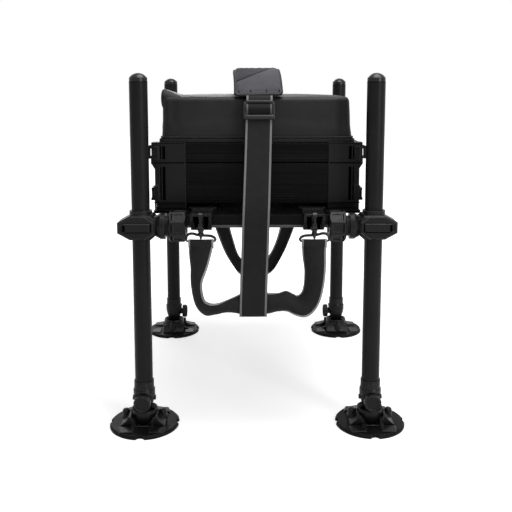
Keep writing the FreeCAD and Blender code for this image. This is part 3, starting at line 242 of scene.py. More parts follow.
def brushed_cloth(name, level, weave_scale, relief):
    """Close-woven fabric over foam."""
    s = Shader(name)

    def shade(times):
        return grey(level * times, CLOTH_TINT)

    where = s.place()
    threads = s.noise(where, weave_scale, 3.0, 0.6)
    cells = s.voronoi(where, weave_scale * 0.7)
    broad = s.noise(where, 18.0, 3.0)
    base = s.mix(s.range(broad, 0.3, 0.7), shade(0.88), shade(1.1))
    return s.surface({
        "Base Color": s.mix(s.range(cells, 0.1, 0.6), s.mix(0.35, base, shade(0.5)), base),
        "Roughness": 0.8,
        "Specular IOR Level": 0.1,
        "Sheen Weight": 0.02,
        "Normal": s.bump(s.math("ADD", threads, cells), relief, 0.7),
    })


LEG = moulded("satin_tube", 0.0100, 0.36, grain=2600.0, relief=0.00002, wear_and_highlight=2.0, specular=0.08)
LEG_CAP = moulded("leg_cap", 0.006, 0.26, edge=0.0008, wear_and_highlight=3.0, specular=0.25)
FOOT = moulded("foot_moulding", 0.0045, 0.34, grain=1500.0, edge=0.0014, wear_and_highlight=9.0, specular=0.15)
DISC = moulded("disc_moulding", 0.0050, 0.40, grain=1500.0, edge=0.0014, wear_and_highlight=7.0, specular=0.05)
STEEL = moulded("black_steel", 0.02, 0.35, metallic=0.8, wear_and_highlight=2.5)
KNOB = moulded("knob_moulding", 0.0055, 0.34, grain=1600.0, relief=0.00004, edge=0.0013, wear_and_highlight=8.0,
               specular=0.14)
CLAMP = moulded("clamp_powder_coat", 0.0055, 0.36, grain=1900.0, edge=0.0018, wear_and_highlight=7.0,
                specular=0.14)
HARDWARE = moulded("black_wire", 0.003, 0.3, grain=2400.0, relief=0.00003, edge=0.0004, wear_and_highlight=2.5,
                   specular=0.25)
LINER = moulded("liner_plastic", 0.02, 0.5, specular=0.2)
FRAME = moulded("anodised_extrusion", 0.0012, 0.32, grain=2600.0, relief=0.00002, edge=0.0012,
                wear_and_highlight=14.0, specular=0.06)
# A pale strip of painted reflection: the white floor seen in the rail's lower edge.
RAIL_REFLECTION = moulded("rail_floor_reflection", 0.045, 0.4, grain=2600.0, relief=0.00002, wear_and_highlight=1.5,
                   specular=0.3)
BOLT = moulded("bolt_steel", 0.25, 0.35, metallic=1.0, wear_and_highlight=1.4)
MOULDING = moulded("corner_moulding", 0.0068, 0.44, grain=1500.0, relief=0.00008, edge=0.0016,
                   wear_and_highlight=6.0, specular=0.12)
CASING = moulded("casing_sheet", 0.003, 0.5, specular=0.1)
PANEL = moulded("ribbed_panel", 0.0024, 0.36, grain=2200.0, relief=0.00003, edge=0.0007, wear_and_highlight=1.8,
                specular=0.06, rib_shade=0.8)
RUNNER = moulded("runner_plastic", 0.02, 0.4, specular=0.2)
DRAWER = moulded("drawer_moulding", 0.006, 0.46, edge=0.0012, wear_and_highlight=4.0, specular=0.14)
CLIP = moulded("clip_plastic", 0.006, 0.40, edge=0.0010, wear_and_highlight=6.0, specular=0.14)
SEAT_BASE = moulded("seat_base_moulding", 0.006, 0.42, edge=0.0014, wear_and_highlight=6.0, specular=0.13)
BRACKET = moulded("bracket_moulding", 0.0045, 0.34, edge=0.0014, wear_and_highlight=9.0, specular=0.12)
# Painted highlight: pale cords and strips laid along edges where they catch the light.
PAINTED_HIGHLIGHT = moulded("painted_edge_highlight", 0.035, 0.4, wear_and_highlight=2.0, specular=0.2)
# Near-black sheets and cords of painted shade, laid in hollows, slots, seams and joints where
# shade falls.
RECESS_SHADE = moulded("painted_recess_shade", 0.0014, 0.8, wear_and_highlight=1.0, specular=0.0)
VINYL = vinyl("seat_vinyl", 0.0150)
STRAP = webbing("strap_webbing", 0.027, 0.0095, 0.20, 0.0042)
YOKE = webbing("yoke_webbing", 0.025, 0.012, 0.34, 0.0038)
# The strap's webbing made much darker for the buckle's fold: painted shade between the bars.
SHADED_FOLD = webbing("fold_webbing_shade", 0.0264, 0.0016, 0.10, 0.0038)
BUCKLE = moulded("buckle_moulding", 0.012, 0.34, edge=0.0012, wear_and_highlight=4.0, specular=0.22)
PAD = brushed_cloth("pad_fabric", 0.056, 700.0, 0.00015)
PAD_DARK = brushed_cloth("pad_mesh", 0.034, 420.0, 0.0003)
BINDING = brushed_cloth("pad_binding", 0.052, 900.0, 0.0001)
# Painted shade: the pad's cloth much darker, on its underside and edges.
UNDERSIDE_SHADE = brushed_cloth("pad_underside_shade", 0.012, 900.0, 0.0002)
THREAD = moulded("thread", 0.012, 0.7, wear_and_highlight=1.5, specular=0.2)

FINISHES = [
    ("leg_", LEG), ("foot_sleeve", FOOT), ("foot_disc", DISC), ("foot_ball", STEEL),
    (("foot_screw", "clamp_nut", "strap_buckle"), KNOB), ("clamp_housing", CLAMP),
    ("clamp_liners", LINER), (("hook_gate", "snap_hooks", "harness_rings"), HARDWARE),
    ("strap_brackets", BRACKET), (("side_rails", "cross_bars", "base_platform"), FRAME),
    ("frame_bolts", BOLT), (("lower_corner", "upper_corner"), MOULDING),
    (("lower_side", "upper_side"), PANEL), (("lower_casing", "upper_casing"), CASING),
    (("lower_drawer", "upper_drawer"), DRAWER), ("drawer_runners", RUNNER),
    (("front_", "rear_"), CLIP), ("seat_base", SEAT_BASE), ("seat_cushion", VINYL),
    ("shoulder_pad", PAD), ("main_strap", STRAP), (("right_yoke", "left_yoke"), YOKE),
]
LEG_SEAM_Z = 700.0
for node_name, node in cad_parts.items():
    finish = next(material for start, material in FINISHES if node_name.startswith(start))
    node.data.materials.clear()
    node.data.materials.append(finish)
    if finish == LEG:
        node.data.materials.append(LEG_CAP)
        for polygon in node.data.polygons:
            if polygon.center.z > (LEG_SEAM_Z + 1.0) * MM:
                polygon.material_index = 1


# Mesh helpers


def new_object(name, points, faces, material, sharp=40.0, uv=None):
    mesh = bpy.data.meshes.new(name)
    mesh.from_pydata([tuple(p) for p in points], [], faces)
    mesh.materials.append(material)
    mesh.polygons.foreach_set("use_smooth", [True] * len(mesh.polygons))
    if uv is not None:
        layer = mesh.uv_layers.new(name="UVMap")
        index = np.zeros(len(mesh.loops), np.int32)
        mesh.loops.foreach_get("vertex_index", index)
        layer.data.foreach_set("uv", np.asarray(uv, np.float32)[index].ravel())
    mesh.update()
    mesh.set_sharp_from_angle(angle=math.radians(sharp))
    made = bpy.data.objects.new(name, mesh)
    bpy.context.scene.collection.objects.link(made)
    return made


def carry(piece, body):
    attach(piece, body)


def angles(count):
    """Equal turns round a circle."""
    return [2 * math.pi * k / count for k in range(count)]


def flipped(faces):
    """Faces turned over, each with its first corner kept."""
    return [(face[0], *face[:0:-1]) for face in faces]


def skin(rings, sides, closed=False):
    """Faces over a row of rings, with a cap at both ends unless the last ring meets the first."""
    faces = []
    for i in range(rings if closed else rings - 1):
        for k in range(sides):
            here, ahead, beside = i * sides, (i + 1) % rings * sides, (k + 1) % sides
            faces.append((here + k, here + beside, ahead + beside, ahead + k))
    if not closed:
        faces.append(tuple(range(sides))[::-1])
        faces.append(tuple(range((rings - 1) * sides, rings * sides)))
    return faces


def sheet_faces(n, m):
    """Faces of a front of n rows of m points, of a back behind it, and of the edge between."""
    faces = []
    back = n * m
    for i in range(n - 1):
        for j in range(m - 1):
            a = i * m + j
            faces.append((a, a + m, a + m + 1, a + 1))
            faces.append((back + a, back + a + 1, back + a + m + 1, back + a + m))
    edge = [(i * m + m - 1, i * m + 2 * m - 1) for i in range(n - 1)]
    edge += [(i * m + m, i * m) for i in range(n - 1)]
    edge += [(j, j + 1) for j in range(m - 1)]
    edge += [(back - m + j + 1, back - m + j) for j in range(m - 1)]
    return faces + [(a, b, back + b, back + a) for a, b in edge]


def smooth_path(rows, steps):
    """Catmull-Rom through rows of numbers."""
    rows = np.asarray(rows, float)
    first = 2 * rows[0] - rows[1]
    last = 2 * rows[-1] - rows[-2]
    all_rows = np.vstack([first, rows, last])
    made = []
    for i in range(1, len(all_rows) - 2):
        a, b, c, d = all_rows[i - 1:i + 3]
        for k in range(steps):
            t = k / steps
            made.append(0.5 * (2 * b + (c - a) * t + (2 * a - 5 * b + 4 * c - d) * t * t
                               + (3 * b - a - 3 * c + d) * t**3))
    made.append(all_rows[-2])
    return np.array(made)


def run_along(points):
    """The distance from the first of some points to each of them."""
    steps = np.linalg.norm(np.diff(points, axis=0), axis=1)
    return np.concatenate([[0], np.cumsum(steps)])


def arc_angle(share):
    """Half the angle of an arc whose chord is this share of its length."""
    low, high = 1e-4, math.pi * 0.98
    for _ in range(40):
        middle = (low + high) / 2
        if math.sin(middle) / middle > share:
            low = middle
        else:
            high = middle
    return low


def ribbon(name, stations, width, thick, material, steps=8, cuts=12, wobble=0.0):
    """Webbing through stations of (centre, edge, bulge) in millimetres: edge is half the chord
    from edge to edge, and bulge the direction in which the webbing curls to keep its width."""
    grid = []
    for row in smooth_path([[*c, *e, *b] for c, e, b in stations], steps):
        centre, edge, out = row[:3], row[3:6], row[6:9]
        angle = arc_angle(min(2 * np.linalg.norm(edge) / width, 0.9999))
        radius = width / (2 * angle)
        mean = radius * (math.sin(angle) / angle)
        unit = edge / max(np.linalg.norm(edge), 1e-6)
        out = out - unit * (out @ unit)
        out = out / max(np.linalg.norm(out), 1e-6)
        line = []
        for j in range(cuts + 1):
            t = (2 * j / cuts - 1) * angle
            point = centre + unit * radius * math.sin(t) + out * (radius * math.cos(t) - mean)
            if wobble:
                point = point + out * wobble * noise.noise(Vector(point) * 0.03)
            line.append(point)
        grid.append(line)
    grid = np.array(grid) * MM
    normal = np.cross(np.gradient(grid, axis=0), np.gradient(grid, axis=1))
    normal /= np.maximum(np.linalg.norm(normal, axis=2, keepdims=True), 1e-9)
    n, m = grid.shape[:2]
    front = grid + normal * thick * MM / 2
    back = grid - normal * thick * MM / 2
    points = np.concatenate([front.reshape(-1, 3), back.reshape(-1, 3)])
    run = run_along(grid[:, m // 2])
    u = np.tile(np.linspace(-width / 2, width / 2, m) * MM, (n, 1))
    v = np.tile(run[:, None], (1, m))
    uv = np.tile(np.stack([u, v], axis=2).reshape(-1, 2), (2, 1))
    made = new_object(name, points, sheet_faces(n, m), material, uv=uv)
    made["length"] = float(run[-1])
    return made


class Forms:
    """Several closed forms gathered in one mesh, in millimetres about one axis. Each call that
    adds one gives the forms back."""

    def __init__(self):
        self.verts, self.faces = [], []

    def add(self, verts, faces):
        start = len(self.verts)
        self.verts += [tuple(v) for v in verts]
        self.faces += [tuple(start + i for i in face) for face in faces]
        return self

    def prism(self, outline, y0, y1, shrink=1.0, drop=0.0):
        """An outline of (x, z) from y0 to y1, whose y0 end is smaller and lower."""
        n = len(outline)
        cx = sum(x for x, z in outline) / n
        low = min(z for x, z in outline)
        front = [(cx + (x - cx) * shrink, y0, low + (z - low) * (1 - drop)) for x, z in outline]
        back = [(x, y1, z) for x, z in outline]
        return self.add(front + back, flipped(skin(2, n)))

    def plate(self, x0, x1, z0, z1, near, far):
        """A plate across y, between near and far."""
        outline = [(x0, z0), (x1, z0), (x1, z1), (x0, z1)]
        return self.prism(outline, min(near, far), max(near, far))

    def lathe(self, outline, cx=0.0, sides=48):
        """A closed outline of (radius, z) turned about an upright axis."""
        verts = [(cx + r * math.cos(t), r * math.sin(t), z) for t in angles(sides)
                 for r, z in outline]
        return self.add(verts, flipped(skin(sides, len(outline), closed=True)))

    def lathe_x(self, outline, z):
        """A closed outline of (x, radius) turned about a level axis at a height."""
        first = len(self.verts)
        self.lathe([(radius, x) for x, radius in outline])
        self.verts[first:] = [(c, a, b + z) for a, b, c in self.verts[first:]]
        return self

    def tube(self, points, radius, sides=8, closed=False):
        pts = [Vector(p) for p in points]
        n = len(pts)
        verts = []
        for i, point in enumerate(pts):
            before = pts[(i - 1) % n] if closed or i else pts[0]
            after = pts[(i + 1) % n] if closed or i < n - 1 else pts[-1]
            way = (after - before).normalized()
            up = Vector((0, 0, 1)) if abs(way.z) < 0.9 else Vector((0, 1, 0))
            side = way.cross(up).normalized()
            up = side.cross(way)
            verts += [point + radius * (side * math.cos(t) + up * math.sin(t))
                      for t in angles(sides)]
        return self.add(verts, flipped(skin(n, sides, closed)))

    def build(self, name, material, at=(0, 0, 0), turn=0.0, bevel=0.0, sharp=40.0, mirror=(1, 1)):
        cosine, sine = math.cos(math.radians(turn)), math.sin(math.radians(turn))
        placed = []
        for x, y, z in self.verts:
            x, y = x * mirror[0], y * mirror[1]
            placed.append(mm(at[0] + x * cosine - y * sine, at[1] + x * sine + y * cosine,
                             at[2] + z))
        faces = [face[::mirror[0] * mirror[1]] for face in self.faces]
        made = new_object(name, placed, faces, material, sharp)
        if bevel:
            modifier = made.modifiers.new("bevel", "BEVEL")
            modifier.width = bevel * MM
            modifier.segments = 2
            modifier.limit_method = "ANGLE"
            modifier.angle_limit = math.radians(35)
        return made


def round_cord(name, points, radius, material, closed=False):
    return Forms().tube(points, radius, sides=10, closed=closed).build(name, material)


# A dash is four rings: their place along its half length, and their share of its radius
DASH = [(-1.0, 0.35), (-0.6, 1.0), (0.6, 1.0), (1.0, 0.35)]


def stitches(name, points, length, gap, radius):
    """Thread dashes along a line of points in millimetres."""
    pts = np.asarray(points, float)
    run = run_along(pts)
    forms = Forms()
    at = gap / 2
    while at + length < run[-1]:
        a, b = (np.array([np.interp(place, run, pts[:, k]) for k in range(3)])
                for place in (at, at + length))
        way = (b - a) / np.linalg.norm(b - a)
        side = np.cross(way, [0.0, 0.0, 1.0] if abs(way[2]) < 0.9 else [1.0, 0.0, 0.0])
        side /= np.linalg.norm(side)
        up = np.cross(side, way)
        verts = []
        for share, size in DASH:
            centre = (a + b) / 2 + way * length / 2 * share
            verts += [centre + radius * size * (side * math.cos(t) + up * math.sin(t))
                      for t in angles(6)]
        forms.add(verts, skin(len(DASH), 6))
        at += length + gap
    return forms.build(name, THREAD)


# Padding

CLOTH_FRAMES = 20
CLOTH_SETTINGS = {"quality": 4, "mass": 0.3, "tension_stiffness": 15.0,
                  "compression_stiffness": 15.0, "bending_stiffness": 0.8, "use_pressure": True}


def evaluated(obj):
    """An object with its modifiers."""
    return obj.evaluated_get(bpy.context.evaluated_depsgraph_get())


def points_of(mesh):
    made = np.empty(len(mesh.vertices) * 3)
    mesh.vertices.foreach_get("co", made)
    return made.reshape(-1, 3)


def puff(obj, voxel, pressure, cap, held):
    """Blows up an even copy of a closed form as cloth, and moves the form's points with it,
    by cap at most. The points that held names stay where they are."""
    copy = bpy.data.objects.new("puffed", obj.data.copy())
    bpy.context.scene.collection.objects.link(copy)
    remesh = copy.modifiers.new("even", "REMESH")
    remesh.mode = "VOXEL"
    remesh.voxel_size = voxel
    copy.data = bpy.data.meshes.new_from_object(evaluated(copy))
    copy.modifiers.clear()
    start = points_of(copy.data)
    group = copy.vertex_groups.new(name="held")
    group.add([i for i, point in enumerate(start) if held(*(point / MM))], 1.0, "REPLACE")
    cloth = copy.modifiers.new("cloth", "CLOTH")
    for key, value in CLOTH_SETTINGS.items():
        setattr(cloth.settings, key, value)
    cloth.settings.uniform_pressure_force = pressure
    cloth.settings.vertex_group_mass = group.name
    cloth.settings.effector_weights.gravity = 0.0
    cloth.point_cache.frame_start = 1
    cloth.point_cache.frame_end = CLOTH_FRAMES
    for step in range(1, CLOTH_FRAMES + 1):
        bpy.context.scene.frame_set(step)
    move = points_of(evaluated(copy).data) - start
    bpy.context.scene.frame_set(1)
    size = np.linalg.norm(move, axis=1, keepdims=True)
    move *= np.minimum(1.0, cap / np.maximum(size, 1e-9))
    tree = kdtree.KDTree(len(start))
    for i, point in enumerate(start):
        tree.insert(point, i)
    tree.balance()
    for vertex in obj.data.vertices:
        near = tree.find_n(vertex.co, 6)
        weights = [1.0 / (distance + voxel * 0.3) for _, _, distance in near]
        shift = sum((move[i] * w for (_, i, _), w in zip(near, weights)), np.zeros(3))
        vertex.co = vertex.co + Vector(shift / sum(weights))
    bpy.data.objects.remove(copy)
    obj.data.update()


# Cushion

CUSHION_A, CUSHION_B = 198.5, 214.5
CUSHION_LOW, CUSHION_TOP = 585.2, 671.5
CUSHION_TALL = CUSHION_TOP - CUSHION_LOW
CORNER_ROUND = 14.0
CUSHION_EDGE = 10.5
CUSHION_BELLY, CUSHION_CROWN, CUSHION_SLANT = 2.2, 3.0, 5.0
SEAMS_FROM_CORNER = (9.0, 17.0)


def outline_point(position, inset):
    """A point and outward normal on the cushion's outline, at a share 0 to 1 of its length,
    and how far it is from the nearest corner's arc, negative on the arc."""
    r = CORNER_ROUND
    quarter = math.pi / 2 * r
    s = (position % 1.0) * (4 * (CUSHION_A + CUSHION_B - 2 * r) + 4 * quarter)
    for turns in range(4):
        # Each side is taken as if it faced x, and turned to its place afterwards
        reach, half = (CUSHION_A, CUSHION_B) if turns % 2 == 0 else (CUSHION_B, CUSHION_A)
        length = 2 * (half - r)
        if s <= length:
            nx, ny = 1.0, 0.0
            x, y, corner = reach, s - (half - r), min(s, length - s)
            break
        s -= length
        if s <= quarter:
            nx, ny = math.cos(s / r), math.sin(s / r)
            x, y, corner = reach - r + nx * r, half - r + ny * r, -min(s, quarter - s)
            break
        s -= quarter
    for _ in range(turns):
        x, y, nx, ny = -y, x, -ny, nx
    if inset > r:
        x = (x - nx * r) * (CUSHION_A - inset) / (CUSHION_A - r)
        y = (y - ny * r) * (CUSHION_B - inset) / (CUSHION_B - r)
        return x, y, nx, ny, corner
    return x - inset * nx, y - inset * ny, nx, ny, corner


def cushion_point(position, inset, height):
    """A point of the cushion: its sides swell between the corners and are drawn in at two seams
    by each corner, its top is crowned, its front leans back, and all of it ripples a little."""
    x, y, nx, ny, corner = outline_point(position, inset)
    rise = min(height / CUSHION_TALL, 1.0)
    face = math.exp(-max(0.0, 26.0 - corner) / 12.0) if corner > 0 else 0.1
    push = CUSHION_BELLY * math.sin(math.pi * rise) ** 0.8 * face - (1 - face)
    if inset > 1.0:
        push *= max(0.0, 1.0 - inset / CUSHION_EDGE)
    if corner > -6 and 0.05 < rise < 0.97:
        for line in SEAMS_FROM_CORNER:
            groove = math.exp(-((corner + 4.0 - line) / 1.7) ** 2)
            push -= (1.5 if ny < 0.5 else 0.9) * groove * math.sin(math.pi * rise) ** 0.4
    z = CUSHION_LOW + height
    where = Vector((x, y, z)) * 0.012
    ripple = noise.noise(where) + noise.noise(where * 2.7) * 0.35 if rise >= 0.06 else 0.0
    if inset < CUSHION_EDGE:
        push += ripple
    if rise > 0.9:
        if inset > CUSHION_EDGE * 0.8:
            z += CUSHION_CROWN * (1 - math.exp(-(inset - CUSHION_EDGE * 0.8) / 55.0))
        if inset >= CUSHION_EDGE * 0.6:
            z += 0.9 * ripple
    slant = CUSHION_SLANT * rise * max(0.0, x / CUSHION_A)
    return mm(x - slant + nx * push, y + ny * push, z)


def cushion():
    """Rings of (inset, height) from the middle of its underside over its edge to its top."""
    around = 360
    wall = CUSHION_TALL - CUSHION_EDGE
    rings = [(30.0, 0.0), (10.0, 0.0), (3.0, 0.2), (0.6, 2.0), (0.0, 5.0)]
    rings += [(0.0, 5.0 + (wall - 5.0) * k / 14) for k in range(1, 14)]
    for k in range(13):
        t = math.pi / 2 * k / 12
        rings.append((CUSHION_EDGE * (1 - math.cos(t)), wall + CUSHION_EDGE * math.sin(t)))
    rings += [(inset, CUSHION_TALL)
              for inset in (17.0, 19.5, 22.0, 27.0, 34.0, 44.0, 58.0, 75.0, 95.0, 118.0, 142.0,
                            165.0, 184.0, 196.0)]
    verts = [cushion_point(k / around, inset, height) for inset, height in rings
             for k in range(around)]
    return new_object("seat_cushion_soft", verts, skin(len(rings), around), VINYL, sharp=60.0)


seat = cushion()
puff(seat, 0.006, 4.0, 0.002, lambda x, y, z: z < CUSHION_LOW + 9.0)
carry(seat, "seat_body")
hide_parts("seat_cushion")

# The lip's section: x, and a height in mm where it isn't above 0, or else a share of the rise
LIP_SECTION = [(-193.5, -25.0), (-197.6, -14.0), (-199.2, -4.0), (-199.0, 0.62), (-197.4, 0.93),
               (-194.0, 1.0)]
LIP_SECTION += [(-190.0 + 46.0 * k / 10, 0.93 * (1 - k / 10) ** 1.15) for k in range(11)]
LIP_SECTION += [(-141.0, -3.0)]
LIP_BASE, LIP_RISE = 668.5, 18.0
LIP_START, LIP_LENGTH = -208.0, 413.0


def lip_point(share, x, z):
    """A point of the lip at a share of its length, where the section has x and z."""
    y = LIP_START + LIP_LENGTH * share
    start, finish = min(share * 26, 1.0), min((1 - share) * 26, 1.0)
    end = math.sin(start * math.pi / 2) ** 0.6 * math.sin(finish * math.pi / 2)
    if z > 0:
        rise = LIP_RISE * (1 - share) ** 0.8 + 1.5
        sag = 0.7 * noise.noise(Vector((x * 0.05, y * 0.025, 0)))
        return mm(x + math.sin(share * 8), y, LIP_BASE + rise * z * end + sag)
    return mm(x, y, LIP_BASE + z - 6.0 * (1 - end))


def rear_lip():
    """The raised wedge along the back of the seat, tallest at the right end."""
    rows = 72
    verts = [lip_point(i / rows, x, z) for i in range(rows + 1) for x, z in LIP_SECTION]
    faces = skin(rows + 1, len(LIP_SECTION))
    made = new_object("seat_rear_lip", verts, faces, VINYL, sharp=70.0)
    modifier = made.modifiers.new("smooth", "SUBSURF")
    modifier.levels = modifier.render_levels = 1
    return made


lip = rear_lip()
carry(lip, "seat_body")

WELT_RADIUS, WELT_PROUD, WELT_UP = 2.2, 0.6, 2.3
welt_line = [(*outline_point(k / 240, -WELT_PROUD)[:2], CUSHION_LOW + WELT_UP)
             for k in range(240)]
welt = round_cord("seat_welt", welt_line, WELT_RADIUS, VINYL, closed=True)
carry(welt, "seat_body")


# Shoulder pad

PAD_MIDDLE, PAD_HALF = 3.0, 51.0
PAD_HALF_Y, PAD_END_Z, PAD_CREST = 221.5, 678.5, 734.5
PAD_CORNER = 13.0
PAD_RADIUS = (PAD_HALF_Y**2 + (PAD_CREST - PAD_END_Z) ** 2) / (2 * (PAD_CREST - PAD_END_Z))
PAD_SWEEP = math.asin(PAD_HALF_Y / PAD_RADIUS)
PAD_SIDE_BORDER, PAD_END_BORDER = 5.0, 13.0
PAD_EDGE = 2.4
PAD_DEPTH, PAD_FILLING, PAD_UNDER = 6.0, 6.8, 3.4
MESH_END = 0.3
# Material indices; the last is the dark underside cloth, painted shade on the pad's edge and
# underside.
FILLING, MESH, BORDER, EDGE_SHADE = range(4)


def pad_point(u, v, depth):
    """u and v from -1 to 1 across and along the pad, depth in millimetres below its crown."""
    angle = PAD_SWEEP * v
    radius = PAD_RADIUS - depth
    middle = math.cos(math.pi / 2 * v) ** 2
    half = PAD_HALF + 3.2 * middle
    from_end = min((1 - abs(v)) * PAD_HALF_Y, PAD_CORNER)
    half -= PAD_CORNER - math.sqrt(PAD_CORNER**2 - (PAD_CORNER - from_end) ** 2)
    x = PAD_MIDDLE - 3.0 * middle + half * u
    roll = 0.018 * (x - PAD_MIDDLE)
    return x, radius * math.sin(angle), PAD_CREST - PAD_RADIUS + radius * math.cos(angle) + roll


def seam_line(u):
    """Where along the pad its diagonal seam crosses a share of its width."""
    share = u + 1
    return (-162.0 + 23.5 * share + 30.5 * share**2) / PAD_HALF_Y


def pad_border(u, v):
    """0 at the pad's edge, 1 at the seam between its border and its filling."""
    from_side, from_end = (1 - abs(u)) * PAD_HALF, (1 - abs(v)) * PAD_HALF_Y
    return min(from_side / PAD_SIDE_BORDER, from_end / PAD_END_BORDER)


def pad_height(u, v, top):
    """The pad's thickness: a rim, a seam, and a filling that ripples past the diagonal seam."""
    border = pad_border(u, v)
    full = math.sin(min(max((border - 0.9) / 1.3, 0.0), 1.0) * math.pi / 2) ** 0.8
    rim = 2.4 + 2.2 * math.cos(math.pi / 2 * v)
    thick = rim * math.sqrt(min(border / 0.3, 1.0)) + (PAD_FILLING - rim) * full
    thick -= 0.9 * max(0.0, 1 - abs(border - 1) / 0.14)
    if top and full > 0.2 and v < MESH_END:
        past = (v - seam_line(u)) * PAD_HALF_Y
        thick -= 2.0 * math.exp(-((past / 5.0) ** 2))
        if past > 0:
            ripple = 0.8 * math.sin(past * 0.35 + u * 6)
            thick += (ripple + 0.9 * noise.noise(Vector((u * 5, v * 14, 3)))) * full
    return thick + 0.5 * noise.noise(Vector((u * 2.5, v * 8, 0.0))) * full


def pad_share(i, count):
    """A share from -1 to 1 that is closer spaced towards both ends."""
    share = 2 * i / count - 1
    return math.copysign(1 - (1 - abs(share)) ** 1.3, share)


def pad_finish(u, v):
    """Which material the pad has at a place on top: the strip along its edge takes the dark
    underside cloth, painted shade.
    """
    if min((1 - abs(u)) * PAD_HALF, (1 - abs(v)) * PAD_HALF_Y) < PAD_EDGE:
        return EDGE_SHADE
    if pad_border(u, v) < 1:
        return BORDER
    return MESH if seam_line(u) < v < MESH_END else FILLING


def shoulder_pad():
    nu, nv = 60, 210
    verts, finish = [], []
    for top in (True, False):
        for i in range(nv + 1):
            for j in range(nu + 1):
                u, v = pad_share(j, nu), pad_share(i, nv)
                height = pad_height(u, v, top)
                below = -height if top else min(height, PAD_UNDER)
                verts.append(mm(*pad_point(u, v, PAD_DEPTH + below)))
    for i in range(nv):
        for j in range(nu):
            finish += [pad_finish(pad_share(j + 0.5, nu), pad_share(i + 0.5, nv)), EDGE_SHADE]
    faces = flipped(sheet_faces(nv + 1, nu + 1))
    finish += [EDGE_SHADE] * (len(faces) - len(finish))
    made = new_object("shoulder_pad_soft", verts, faces, PAD, sharp=75.0)
    for material in (PAD_DARK, BINDING, UNDERSIDE_SHADE):
        made.data.materials.append(material)
    made.data.polygons.foreach_set("material_index", finish)
    return made


def under_pad(x, y, z):
    return PAD_RADIUS - math.hypot(y, z - PAD_CREST + PAD_RADIUS) > PAD_DEPTH + 0.5


pad = shoulder_pad()
puff(pad, 0.004, 3.0, 0.0015, under_pad)
carry(pad, "seat_body")
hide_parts("shoulder_pad")
bpy.context.view_layer.update()


def on_pad(u, v):
    """The point of the pad's top surface at a share of its width and length."""
    start, end = mm(*pad_point(u, v, -20.0)), mm(*pad_point(u, v, 10.0))
    hit, place, _, _ = pad.ray_cast(start, (end - start).normalized())
    return place / MM if hit else Vector(pad_point(u, v, 3.0))


for end, end_name in ((-1, "near"), (1, "far")):
    line = [on_pad(u / 20, end * (1 - 5.2 / PAD_HALF_Y)) for u in range(-17, 18)]
    carry(stitches(f"pad_thread_{end_name}", line, 4.2, 3.4, 0.55), "seat_body")
for side, side_name in ((-1, "rear"), (1, "front")):
    line = [on_pad(side * (1 - 3.7 / PAD_HALF), v / 60) for v in range(-55, 56)]
    carry(stitches(f"pad_thread_{side_name}", line, 4.2, 3.4, 0.5), "seat_body")

line = [on_pad(u / 40, seam_line(u / 40)) for u in range(-35, 32)]
# The piping and the tacks are drawn in the same dark underside cloth.
carry(round_cord("pad_piping", line, 1.7, UNDERSIDE_SHADE), "seat_body")
for i, across in enumerate((-0.8, -0.32, 0.33, 0.85)):
    line = [on_pad(across, from_end / PAD_HALF_Y - 1) for from_end in (15.5, 8.0)]
    carry(round_cord(f"pad_tack_{i}", line, 1.2, UNDERSIDE_SHADE), "seat_body")


# Central strap

STRAP_WIDTH, STRAP_THICK = 54.0, 2.2


def strap_line(side, loop_z):
    """Stations of one length of the central strap, from the pad's end to the back of its loop."""
    drift = 1.0 if side < 0 else 0.4
    line = [
        (5.0, -211.0, 674.4), (5.0, -218.5, 672.4), (5.0, -225.2, 668.6), (4.8, -229.8, 661.6),
        (4.2, -235.4, 648.0), (2.0, -263.0, 574.0), (-0.8, -296.0, 492.0), (-2.0, -307.5, 460.0),
        (-3.0, -311.6, 436.0), (-4.6, -312.2, 380.0),
        (-6.3, -313.2, 330.0 if side < 0 else 300.0), (-7.4, -317.5, loop_z + 66.0),
        (-8.0, -322.6, loop_z + 44.0), (-8.6, -324.0, loop_z + 20.0),
        (-8.9, -323.0, loop_z + 6.0), (-9.0, -318.0, loop_z + 1.2), (-9.0, -313.0, loop_z + 6.0),
        (-8.6, -312.0, loop_z + 22.0), (-8.0, -312.6, loop_z + 46.0),
        (-7.6, -314.4, loop_z + 62.0), (-7.2, -311.4, loop_z + 84.0),
    ]
    return [(x * drift, y if side < 0 else -y, z) for x, y, z in line]


def strap(name, side, loop_z):
    half = (STRAP_WIDTH / 2, 0.0, 0.0)
    stations = [(point, half, (0.0, side, 0.0)) for point in strap_line(side, loop_z)]
    made = ribbon(name, stations, STRAP_WIDTH, STRAP_THICK, STRAP)
    carry(made, "seat_body")
    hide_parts("main_strap")


strap("central_strap_right", -1, 238.0)
strap("central_strap_left", 1, 152.0)


# Yokes: webbing from ring to ring through the loop of the central strap

SIDES = ((-1, "right"), (1, "left"))
HOOK_X, HARNESS_Y, RING_BAR_Z = 111.0, 318.0, 390.9
HOOKS = ((-HOOK_X, "rear"), (HOOK_X, "front"))
YOKE_WIDTH, YOKE_THICK = 50.0, 2.0
